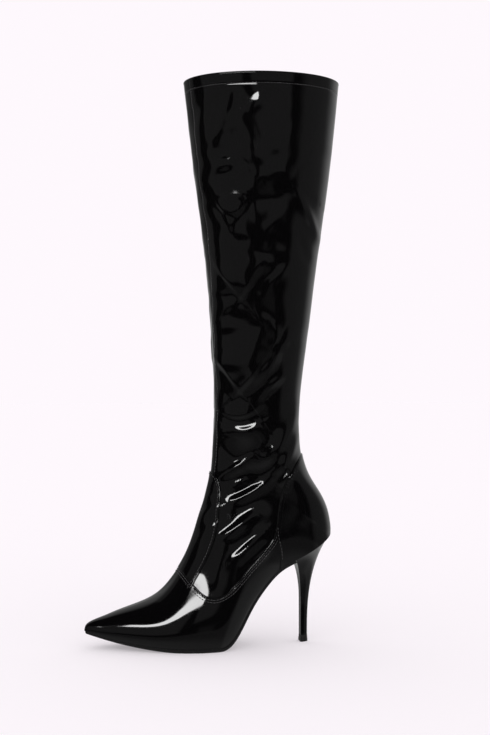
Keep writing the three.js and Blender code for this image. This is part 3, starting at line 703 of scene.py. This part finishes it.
# %% Knit lining
def knit_relief(tree, shader):
    """Nodes of a fine knit: crossed bands for the loops, and clouds between two dark greys."""
    bands = [add(tree, "TexWave", Vector=place_of(tree), Scale=260, Distortion=0.6,
                 settings={"bands_direction": way}).outputs["Fac"] for way in "XZ"]
    loops = sum_of(tree, "MULTIPLY", *bands)
    clouds = ranged(tree, noise(tree, 90, 4), 0.3, 0.7, 0, 1)
    greys = {"A": (0.012, 0.011, 0.012, 1), "B": (0.035, 0.033, 0.034, 1)}
    mixed = add(tree, "Mix", settings={"data_type": "RGBA"}, Factor=clouds, **greys)
    tree.links.new(mixed.outputs["Result"], shader.inputs["Base Color"])
    tree.links.new(ranged(tree, loops, 0, 1, 0.92, 0.7), shader.inputs["Roughness"])
    tree.links.new(bump(tree, loops, 8e-5), shader.inputs["Normal"])


lining = finish_of("knit_lining", (0.02, 0.018, 0.018), 0.8, knit_relief, Sheen_Weight=0.2)

# %% [markdown]
# Sock, sole, top piece and thread
# The sock is smooth leather with a pebbled grain. The sole and the top piece are hard rubber, finer in
# grain, and rubbed dull where they touch the ground. All three are cells of a Voronoi pattern over clouds,
# at different sizes. Thread is two plies twisted together, which a slanting wave gives, and waxed, so it
# glints.


# %% Grained finishes and thread
def grain_relief(scale, depth, low, high, stretch=(1, 1, 1)):
    """Nodes of a grain with scale cells to the metre, depth metres deep, and a roughness between low and
    high."""
    def relief(tree, shader):
        cells = add(tree, "TexVoronoi", Vector=place_of(tree), Scale=scale).outputs["Distance"]
        rubbed = ranged(tree, noise(tree, 60, 4, stretch), 0.3, 0.7, low, high)
        trodden = ranged(tree, height_of(tree), 0.0, 0.0015, 0.14, 0.0)
        tree.links.new(sum_of(tree, "ADD", rubbed, trodden), shader.inputs["Roughness"])
        clouds = bump(tree, noise(tree, scale / 3, 3), depth)
        tree.links.new(bump(tree, cells, depth, clouds), shader.inputs["Normal"])
    return relief


def twist_relief(tree, shader):
    """Nodes of a twisted thread: slanting waves for the plies, and clouds of wax in the roughness."""
    slanting = {"bands_direction": "DIAGONAL"}
    ply = add(tree, "TexWave", Vector=place_of(tree), Scale=700, settings=slanting).outputs["Fac"]
    tree.links.new(ranged(tree, noise(tree, 300, 2), 0.3, 0.7, 0.14, 0.3), shader.inputs["Roughness"])
    tree.links.new(bump(tree, ply, 4e-5), shader.inputs["Normal"])


sock_grain = grain_relief(700, 4e-5, 0.42, 0.6)
sole_grain = grain_relief(900, 8e-6, 0.22, 0.4, (0.2, 1, 1))
tip_grain = grain_relief(1500, 1e-5, 0.38, 0.55)
sock = finish_of("sock_leather", (0.022, 0.02, 0.02), 0.5, sock_grain)
sole_rubber = finish_of("sole_rubber", (0.006, 0.006, 0.006), 0.35, sole_grain)
tip_rubber = finish_of("tip_rubber", (0.009, 0.009, 0.009), 0.5, tip_grain)
thread = finish_of("thread", (0.05, 0.05, 0.05), 0.2, twist_relief)

# %% [markdown]
# Leg
# The leg is two halves of stretch patent, joined up the back and up the front, where the seam lies a little
# to the outer side. They reach a few millimetres under the vamp, as a lasted upper does. Sections lie
# closest at the ankle, where the folds are sharpest, and by the collar. One grid per half keeps the folds
# crisp for few triangles.

# %% Leg
FRONT_SEAM = np.pi - 0.27  # the turn it lies at, a little to the outer side
SHAFT_WALL, UNDERLAP = 1.4, 3
# heights on the boot in mm, and how far apart the leg's sections may lie there
LEG_GAPS = (90, 240, 300, 450, 545, 548), (1.3, 1.3, 2.2, 3.0, 3.0, 0.9)


def leg_gap(z):
    """How far apart the leg's sections may lie at a height."""
    return np.interp(z, *LEG_GAPS)


leg_rows = stations_between(6.5, COLLAR, leg_gap)


def leg_half(name, start, end, columns=120):
    """One half of the leg from turn start to turn end: the skin's grid, cut a little below the vamp's
    seam."""
    S, T = np.meshgrid(leg_rows, np.linspace(start, end, columns), indexing="ij")
    above = seam_distance(base_point(S, T), leg_seam) + UNDERLAP
    points, faces = trim(skin(S, T).reshape(-1, 3), grid_faces(*S.shape), above)
    half = make(name, *weld(points, faces), stretch_patent, "stretch_patent", ["shaft"])
    wall(half, SHAFT_WALL, lining)


leg_half("leg_outer_half", 0, FRONT_SEAM)
leg_half("leg_inner_half", FRONT_SEAM, 2 * np.pi)

# %% [markdown]
# Vamp, counter and instep panel
# The vamp and the quarters are one skin from the toe round the heel, half a millimetre proud of the leg.
# The counter and the instep panel are second layers on top of it and of the leg. Each is the same skin with
# another lift, cut by its own seams, so that the layers follow each other's folds as real ones do.


# %% Vamp and panels
UPPER_WALL, OVERLAY_WALL = 1.8, 0.9
UPPER_LIFT, OVERLAY_LIFT = 0.5, 1.2  # off the leg's skin
turns = np.linspace(0, 2 * np.pi, 193)


def layer(name, node, start, end, gap, lift, *sides):
    """A layer from station start to end, gap mm between sections: the skin with a lift, kept where the
    signed distance to every one of its seams says so."""
    rows = stations_between(start, end, lambda z: np.full(z.shape, gap))
    S, T = np.meshgrid(rows, turns, indexing="ij")
    plain = base_point(S, T)
    fields = [sign * seam_distance(plain, line) for sign, line in sides]
    points, faces = trim(skin(S, T, lift).reshape(-1, 3), grid_faces(*S.shape), *fields)
    return make(name, *weld(points, faces), patent, "patent", [node])


vamp = layer("vamp_skin", "upper", 0, 25.5, 2.4, UPPER_LIFT, (-1, leg_seam))
wall(vamp, UPPER_WALL, lining)
counter_sides = (-1, leg_seam), (1, counter_seam)
counter = layer("counter_panel", "counter", 12, 25.5, 2.0, OVERLAY_LIFT, *counter_sides)
wall(counter, OVERLAY_WALL)
instep_sides = (1, leg_seam), (-1, instep_edge)
instep = layer("instep_layer", "instep_panel", 6.5, 26, 2.0, OVERLAY_LIFT, *instep_sides)
wall(instep, OVERLAY_WALL)

# %% [markdown]
# Outsole and sock
# The outsole is a thin sheet of rubber cut to the last's outline, half a millimetre inside the upper's
# edge, thicker under the ball and ground round its lower edge. The sock lies on it inside. Both are closed
# rings, each across the top, round one edge, back underneath and round the other, so that one function
# makes both.

# %% The sole's edge
INSET, BEVEL = 0.5, 1.4  # inside the upper's edge, and how much further the tread lies in
GRIND = 0.4  # what is ground off to make the tread flat
GAP = 0.3  # between the outsole and the heel
BREAST = 40.5  # front of the heel's seat


def edge_line(station, side):
    """The sole's edge: the feather edge out to one side of the swung middle line."""
    return np.stack([sole_x(station), swing(station) + side * np.maximum(feather(station), 0),
                     sole_line(sole_x(station))], -1)


def sole_edge(station, side, inset, height):
    """Point by the sole's edge: moved inwards by inset, square to the edge, and up by height, square to the
    sole."""
    station, side, inset, height = np.broadcast_arrays(station, side, inset, height)
    x = sole_x(station)
    slope = (sole_line(x + 0.02) - sole_line(x - 0.02)) / 0.04
    up = np.stack([-slope, np.zeros_like(slope), np.ones_like(slope)], -1)
    up /= np.linalg.norm(up, axis=-1, keepdims=True)
    ahead, behind = np.minimum(station + 0.02, SEAT), np.maximum(station - 0.02, 0)
    out = np.cross(edge_line(ahead, side) - edge_line(behind, side), up) * side[..., None]
    forward = np.stack([np.ones_like(slope), np.zeros_like(slope), slope], -1)
    out = np.where((station == SEAT)[..., None], -forward, out)
    out = np.where((station == 0)[..., None], forward, out)
    out /= np.maximum(np.linalg.norm(out, axis=-1, keepdims=True), 1e-9)
    return edge_line(station, side) - out * inset[..., None] + up * height[..., None]


def sole_station(x):
    """The station whose section stands on the sole at x."""
    fine = np.linspace(0, SEAT, 8001)
    return np.interp(x, sole_x(fine)[::-1], fine[::-1])


breast_station = float(sole_station(BREAST + GAP))
print("the outsole ends at station", round(breast_station, 2))


# %% Closed pieces
def sole_rings(station, top, low, inset, bevel):
    """Sections of a sole between the heights top and low. Round an edge the inset grows with one minus a
    cosine and the height falls with a power of the sine. Top and bottom are straight mixes of the two
    edges."""
    v = np.linspace(0, np.pi / 2, 6)
    fall = top + (np.broadcast_to(low, station.shape)[:, None] - top) * np.sin(v) ** 1.5
    round_in = inset + bevel * (1 - np.cos(v))
    outer, inner = (sole_edge(station[:, None], side, round_in, fall) for side in (1.0, -1.0))
    mix = ((np.linspace(1, -1, 13)[1:-1] + 1) / 2)[:, None]
    over = outer[:, :1] * mix + inner[:, :1] * (1 - mix)
    under = inner[:, -1:] * mix + outer[:, -1:] * (1 - mix)
    return np.concatenate([over, inner, under, outer[:, ::-1]], 1)


def closed_loft(rings):
    """Points and faces of a closed piece: quads between rings, a fan over each end, and all faces turned
    round if the volume they enclose, a sixth of the sum of triple products, comes out below 0."""
    n, m = rings.shape[:2]
    points = np.vstack([rings.reshape(-1, 3), rings[0].mean(0), rings[-1].mean(0)])
    sides, c = grid_faces(n, m, wrap=True), np.arange(m)
    first = np.stack([c, (c + 1) % m, np.full(m, n * m)], -1)
    last = np.stack([(n - 1) * m + c, np.full(m, n * m + 1), (n - 1) * m + (c + 1) % m], -1)
    faces = np.vstack([sides[:, [0, 1, 2]], sides[:, [0, 2, 3]], first, last])
    a, b, c = points[faces].transpose(1, 0, 2)
    return points, faces if (a * np.cross(b, c)).sum() > 0 else faces[:, ::-1]


# %% Outsole and sock
sole_rows = np.r_[np.linspace(0, 4, 17)[:-1], np.linspace(4, breast_station, 100)]
rings = sole_rings(sole_rows, -0.1, -sole_depth(sole_rows) - GRIND, INSET, BEVEL)
rings[..., 2] = np.maximum(rings[..., 2], 0)
outsole = make("outsole_layer", *closed_loft(rings), sole_rubber, "outsole", ["outsole"])
sock_rings = sole_rings(np.linspace(2, SEAT - 0.3, 90), 2.0, 0.0, 2.1, 0.3)
make("sock_lining", *closed_loft(sock_rings), sock, "insole", ["insole"])

# %% [markdown]
# Heel and top piece
# A stiletto heel is a hard core wrapped in the upper's patent, with a hollow breast and a small rubber top
# piece. It could be turned and cut. Here one ring round the stem and one round the seat have the same turn,
# and each point goes up between them by a sine, while it moves out by a high power of that sine: slim for
# long, then a sudden flare.

# %% Heel
STEM_BACK, STEM_LENGTH, STEM_WIDTH, TIP_HEIGHT, TIP_FLARE = 23.7, 7.5, 8.8, 7, 0.45
BACK_FLARE, SIDE_FLARE, BREAST_FLARE = 2.75, 5, 7  # powers of the sine
ROUNDING, SHARP = 0.5, math.radians(38)  # radius of the rounded edges, and how sharp an edge has to be
heel_turn = np.r_[np.linspace(0, 1, 65), np.linspace(1, 2, 25)[1:-1]]


def stem_point(turn, grow, z):
    """Round the stem: half an ellipse from the outer to the inner corner as turn goes from 0 to 1, then
    straight back."""
    front = STEM_BACK + STEM_LENGTH + grow
    angle = np.pi * np.minimum(turn, 1)
    return np.stack([
        np.where(turn < 1, front - (STEM_LENGTH + 2 * grow) * np.sin(angle), front),
        (STEM_WIDTH / 2 + grow) * np.where(turn < 1, np.cos(angle), 2 * turn - 3),
        np.broadcast_to(z, np.shape(turn)),
    ], -1)


def seat_point(turn):
    """The same way round the heel's seat: along the sole's edge from the breast to the back and round, then
    straight."""
    start = float(sole_station(BREAST))
    half = np.where(turn <= 0.5, 2 * turn, 2 * (1 - np.minimum(turn, 1)))
    ring = sole_edge(start + half * (SEAT - start), np.where(turn <= 0.5, 1.0, -1.0), INSET, -0.1)
    outer, inner = sole_edge(start, np.array([1.0, -1.0]), INSET, -0.1)
    mix = np.clip(turn - 1, 0, 1)[:, None]
    return np.where(turn[:, None] >= 1, inner * (1 - mix) + outer * mix, ring)


share = np.sin(np.linspace(0, 1, 97) * np.pi / 2)[:, None, None]
flare = SIDE_FLARE + (BACK_FLARE - SIDE_FLARE) * np.sin(np.pi * np.minimum(heel_turn, 1))
flare = np.where(heel_turn < 1, flare, BREAST_FLARE)[:, None]
stem, seat = stem_point(heel_turn, 0, TIP_HEIGHT + 0.1), seat_point(heel_turn)
rings = stem + (seat - stem) * np.concatenate([share**flare, share**flare, share + 0 * flare], -1)
heel = make("heel_cover", *closed_loft(rings), heel_patent, "heel_cover", ["heel"])
tip_rings = np.array([stem_point(heel_turn, grow, z) for grow, z in (
    (TIP_FLARE - 0.4, 0), (TIP_FLARE, 0.4), (TIP_FLARE, 2.6), (TIP_FLARE * 0.6, 3.4), (0, TIP_HEIGHT))])
heel_tip = make("top_piece", *closed_loft(tip_rings), tip_rubber, "tip_rubber", ["heel_tip"])
for piece in (heel, heel_tip, outsole):
    bevel = piece.modifiers.new("rounded_edges", "BEVEL")
    bevel.width, bevel.segments = ROUNDING * MM, 3
    bevel.limit_method, bevel.angle_limit = "ANGLE", SHARP

# %% [markdown]
# Paths for edges and stitches
# Stitches run beside the seams, so a seam of the side view has to be laid on the skin. For each point of
# the line, the station is the section that passes through it, and the turn is the angle that gives its
# share of the way up. The path then carries its own frame: along, off the skin and across.


# %% Seam paths
def on_surface(x, z):
    """Station and turn, on the outer side, of what the side view shows at (x, z): the station whose section
    passes through the point, and the angle that gives its share of the way up that section. Points off the
    boot are left out."""
    fine = np.linspace(0, COLLAR, 6401)
    back, front = base_point(fine, 0 * fine), base_point(fine, 0 * fine + np.pi)
    dx, dz = front[:, 0] - back[:, 0], front[:, 2] - back[:, 2]
    qx, qz = x[:, None] - back[:, 0], z[:, None] - back[:, 2]
    area = qx * dz - qz * dx
    up = (qx * dx + qz * dz) / (dx**2 + dz**2 + 1e-9)
    hit = (area[:, :-1] * area[:, 1:] <= 0) & (up[:, 1:] > 0) & (up[:, 1:] < 1)
    i = np.flatnonzero(hit.any(1))
    j = hit.argmax(1)[i]
    t = area[i, j] / (area[i, j] - area[i, j + 1] + 1e-12)
    station = fine[j] + t * (fine[1] - fine[0])
    way, middle = up[i, j] * (1 - t) + up[i, j + 1] * t, level(station)
    sine = np.where(way < middle, way / middle - 1, (way - middle) / (1 - middle))
    return station, np.arcsin(np.clip(sine, -1, 1)) + np.pi / 2


def beside(rows, offset, first=0.0, last=1.0):
    """A seam of the side view moved across by offset, as station and turn. first and last are shares of its
    length."""
    line = seam_line(rows, 24)[1:-1]
    line = line[int(first * (len(line) - 1)): int(last * (len(line) - 1)) + 1]
    way = np.gradient(line, axis=0)
    way /= np.linalg.norm(way, axis=1, keepdims=True)
    return on_surface(line[:, 0] + way[:, 1] * offset, line[:, 1] - way[:, 0] * offset)


def both_sides(station, turn):
    """A path on the outer side that starts at the front, joined over the front to its mirror on the inner
    side."""
    return np.r_[station[::-1], station], np.r_[turn[::-1], 2 * np.pi - turn]


def even(station, turn, gap):
    """The same path with points every gap mm along the surface."""
    line = base_point(station, turn)
    length = np.r_[0, np.linalg.norm(np.diff(line, axis=0), axis=1).cumsum()]
    at = np.linspace(0, length[-1], max(int(length[-1] / gap), 3))
    return np.interp(at, length, station), np.interp(at, length, turn)


def frames(station, turn, lift):
    """Points of a path on the skin, with the unit vectors along it, off the skin and across it."""
    point, off = skin(station, turn, np.full(station.shape, lift)), base_normal(station, turn)
    along = np.gradient(point, axis=0)
    along -= (along * off).sum(1, keepdims=True) * off
    along /= np.linalg.norm(along, axis=1, keepdims=True)
    return point, along, off, np.cross(along, off)


print("the vamp's seam has", len(even(*both_sides(*beside(LEG_SEAM, 0)), 3.0)[0]), "stitches a row")

# %% [markdown]
# Folded edges and stitches
# A cut edge of patent is folded over and shows as a fine cord. A stitch is a short arch of thread that dips
# into the skin at both ends. There are hundreds, so each has only a few dozen faces, and all of a row are
# one mesh: the shape of one stitch, set into the path's frames in a single product of arrays.


# %% Beads and stitches
def bead(name, path, lift, radius, material, slot, flat=1.0):
    """A folded edge along a path: a circle, flattened against the skin, carried along it and closed at both
    ends."""
    point, along, off, across = frames(*even(*path, 1.5), lift)
    a = np.linspace(0, 2 * np.pi, 9)[:-1, None]
    rings = point[:, None] + radius * (flat * np.cos(a) * off[:, None] + np.sin(a) * across[:, None])
    return make(name, *closed_loft(rings), material, slot)


def stitches(name, path, lift, slot, spacing=3.0, length=2.3, radius=0.38):
    """A row of stitches: along each one a circle that grows from nothing and goes back, in an arch into the
    skin."""
    point, along, off, across = frames(*even(*path, spacing), lift)
    t = np.array([-0.5, -0.38, 0, 0.38, 0.5])[:, None]
    wide = np.array([0.05, 0.75, 1, 0.75, 0.05])[:, None]
    high = np.array([-1.1, -0.2, 0.25, -0.2, -1.1])[:, None]
    a = np.linspace(0, 2 * np.pi, 7)[:-1]
    shape = np.stack(np.broadcast_arrays(
        t * length, radius * (high + wide * np.cos(a)), radius * wide * np.sin(a)), -1)
    points, faces = closed_loft(shape)
    everywhere = point[:, None] + points @ np.stack([along, off, across], 1)
    numbers = faces + (np.arange(len(point)) * len(points))[:, None, None]
    return make(name, everywhere.reshape(-1, 3), numbers.reshape(-1, 3), thread, slot)


# %% Seam of the vamp
VAMP_ROWS = (-1.7, -3.9)  # how far its two rows of stitches lie from it
bead("vamp_edge", both_sides(*beside(LEG_SEAM, 0)), 0.35, 0.85, patent, "patent")
for number, offset in enumerate(VAMP_ROWS, 1):
    row = both_sides(*beside(LEG_SEAM, offset))
    stitches(f"vamp_stitches_{number}", row, 0.7, "patent", radius=0.48)

# %% Seams of the instep panel and the counter
EDGE_LIFT, EDGE_RADIUS, ROW_LIFT = 0.8, 0.42, 1.25
# for each panel its edge and its row of stitches: offset, then the shares of the seam for start and end
panel_seams = {
    "instep": (beside(INSTEP_EDGE, 0, 0.06, 0.98), beside(INSTEP_EDGE, -1.8, 0.06, 0.98)),
    "counter": (beside(COUNTER_SEAM, 0, 0.1, 0.72), beside(COUNTER_SEAM, 1.9, 0.08, 0.7)),
}
for panel, (edge, row) in panel_seams.items():
    bead(f"{panel}_edge_outer", edge, EDGE_LIFT, EDGE_RADIUS, patent, "patent")
    inner_edge = edge[0], 2 * np.pi - edge[1]
    bead(f"{panel}_edge_inner", inner_edge, EDGE_LIFT, EDGE_RADIUS, patent, "patent")
    stitches(f"{panel}_stitches_outer", row, ROW_LIFT, "patent")
    inner_row = row[0], 2 * np.pi - row[1]
    stitches(f"{panel}_stitches_inner", inner_row, ROW_LIFT, "patent")

# %% [markdown]
# Collar
# The leg's top edge is folded in over about a centimetre and stitched down once. From outside this is a
# rounded rim and a line of stitches. Inside, the turned-in patent shows as a band above the knit. The rim
# is a bead round the top, and the band is the skin again, moved in by the wall's thickness.

# %% Collar
RIM, RIM_RADIUS, BAND_WALL = COLLAR - 0.001, 1.1, 1.0
ring = np.linspace(0, 2 * np.pi, 400)
bead("collar_fold", (np.full(400, RIM), ring), -0.9, RIM_RADIUS, patent, "stretch_patent")
stitches("collar_stitches", (np.full(400, hem_station), ring), 0.05, "stretch_patent")
band = np.linspace(hem_station - 0.03, RIM, 8)
S, T = np.meshgrid(band, np.linspace(0, 2 * np.pi, 241), indexing="ij")
hem_points, hem_faces = weld(skin(S, T, -SHAFT_WALL).reshape(-1, 3), grid_faces(*S.shape))
wall(make("hem_inside", hem_points, hem_faces, stretch_patent, "stretch_patent"), BAND_WALL)

# %% [markdown]
# Seams up the leg and round the sole
# The front seam is topstitched close to its edge, and the back seam is pressed flat. Where the upper meets
# the sole, the edge of the leather shows as a fine line from the breast of the heel round the toe and back.
# Each is a path on the skin at a turn that hardly changes, so the same two functions make them.

# %% Long seams
up_leg, up_back = np.linspace(8.2, COLLAR - 0.2, 500), np.linspace(25.2, COLLAR - 0.2, 400)
stitches("front_stitches", (up_leg, np.full(500, FRONT_SEAM - 0.035)), 0.05, "stretch_patent")
bead("back_seam", (up_back, np.zeros(400)), -0.1, 0.5, patent, "stretch_patent", 0.7)
to_toe = np.linspace(13.4, 0.05, 200)
feather_path = np.r_[to_toe, to_toe[::-1]], np.r_[np.full(200, 2 * np.pi - 0.05), np.full(200, 0.05)]
bead("feather_line", feather_path, -0.15, 0.45, patent, "patent")

# %% [markdown]
# Camera
# The picture is taken from where the photograph was. At 1.2 m with a focal length of 1200 pixels, a
# millimetre of the boot is a pixel of the picture, so the two can be laid over each other.

# %% Camera
SENSOR = 36  # in mm
camera = bpy.data.objects.new("camera", bpy.data.cameras.new("camera"))
bpy.context.collection.objects.link(camera)
camera.location = (eye + (X_SHIFT, 0, 0)) * MM
camera.rotation_euler = (math.radians(90), 0, math.pi - TURNED)
camera.data.sensor_width, camera.data.lens = SENSOR, SENSOR * FOCAL / PHOTO_HEIGHT
bpy.context.scene.camera = camera
bpy.context.scene.view_settings.view_transform = "Standard"
print("camera at", [round(v, 3) for v in camera.location], "m, lens", round(camera.data.lens, 1), "mm")

# %% [markdown]
# Studio light
# The backdrop and the light on the floor are pale and even. Patent, though, is a mirror: what makes its
# shape readable is a dark room with one long softbox and a few dim walls and reflectors. Lamps would do,
# but their edges are hard and they light the floor unevenly. So the world gives rays that reach it directly
# a pale colour, and mirrored rays a room made of soft windows, each a range of compass directions and of
# heights above the horizon.

# %% Rays that leave the boot
PALE = (0.992, 0.94, 0.983)
world = bpy.data.worlds.new("studio")
bpy.context.scene.world = world
world.use_nodes = True
sky = world.node_tree
ray = add(sky, "TexCoord").outputs["Generated"]


def dot(vector):
    """How far the ray points along a vector."""
    return add(sky, "VectorMath", ray, vector, settings={"operation": "DOT_PRODUCT"}).outputs["Value"]


compass = sum_of(sky, "MULTIPLY", sum_of(sky, "ARCTAN2", dot(to_right), dot(backwards)), 180 / math.pi)
elevation = sum_of(sky, "MULTIPLY", sum_of(sky, "ARCSINE", dot((0, 0, 1))), 180 / math.pi)


def window(value, low, high, soft):
    """1 between low and high, 0 outside, with soft edges that wide."""
    rising = ranged(sky, value, low - soft / 2, low + soft / 2, 0, 1, smooth=True)
    falling = ranged(sky, value, high - soft / 2, high + soft / 2, 1, 0, smooth=True)
    return sum_of(sky, "MULTIPLY", rising, falling)


print("the sky has", len(sky.nodes), "nodes before its windows")

# %% Softbox and dim walls
# compass from and to, elevation from and to, softness, all in degrees, and radiance
PANELS = (
    (-78, -12, -8, 32, 4, 0.15),  # wall to the left
    (-1, 45, 2, 34, 4, 0.15),  # wall behind the camera
    (58, 152, -50, 60, 14, 0.14),  # wall to the right
    (118, 152, -50, 60, 30, 0.4),
    (-158, -101, -40, 50, 6, 0.12),
    (150, 400, -60, 60, 12, 0.4),  # backdrop, seen at a glance along the edges
    (-400, -158, -60, 60, 12, 0.4),
    (150, 400, 18, 60, 20, 0.4),  # its upper part
    (-400, -120, 18, 60, 20, 0.4),
    (-400, 400, -95, -15, 3, 0.1),  # floor
    (-400, 400, -95, -34, 24, 0.12),
    (9, 29, -16, -7, 7, 0.07),  # reflector low in front
)
ROOM, SOFTBOX = 0.012, 17.0  # radiance of the dark room and of the softbox
SLOPE = 0.17  # how much the softbox falls from left to right, in degrees to the degree
STRIP_WIDTH, STRIP_HEIGHT = (-44, 3, 2), (18.2, 24.8, 1)  # from, to and softness
tilted = sum_of(sky, "ADD", elevation, sum_of(sky, "MULTIPLY", compass, SLOPE))
strip = sum_of(sky, "MULTIPLY", window(compass, *STRIP_WIDTH), window(tilted, *STRIP_HEIGHT))
gloss = sum_of(sky, "ADD", ROOM, sum_of(sky, "MULTIPLY", strip, SOFTBOX))
for compass_low, compass_high, low, high, soft, radiance in PANELS:
    across = window(compass, compass_low, compass_high, soft)
    seen = sum_of(sky, "MULTIPLY", across, window(elevation, low, high, soft))
    gloss = sum_of(sky, "ADD", gloss, sum_of(sky, "MULTIPLY", seen, radiance))
mirrored = add(sky, "LightPath").outputs["Is Glossy Ray"]
choose = add(sky, "Mix", settings={"data_type": "RGBA"}, Factor=mirrored, A=(*PALE, 1), B=gloss)
sky.links.new(choose.outputs["Result"], sky.nodes["Background"].inputs["Color"])
print("the sky has", len(sky.nodes), "nodes")

# %% [markdown]
# Floor
# The floor is plain and pale like the backdrop, without a horizon between them. A part of its light is its
# own, which keeps the shadow under the boot as soft as in the photograph.

# %% Floor
HALF, GREY, GLOW = 8, 0.68, 0.32  # half its width in metres, its colour and the light of its own
floor_mesh = bpy.data.meshes.new("floor")
floor_corners = [(-HALF, -HALF, 0), (HALF, -HALF, 0), (HALF, HALF, 0), (-HALF, HALF, 0)]
floor_mesh.from_pydata(floor_corners, [], [(0, 1, 2, 3)])
floor = bpy.data.objects.new("floor", floor_mesh)
bpy.context.collection.objects.link(floor)
glow = {"Emission_Color": (*PALE, 1), "Emission_Strength": GLOW}
floor_mesh.materials.append(finish_of("pale_floor", (GREY, GREY, GREY), 1.0, Specular_IOR_Level=0.0, **glow))
floor.visible_glossy = False
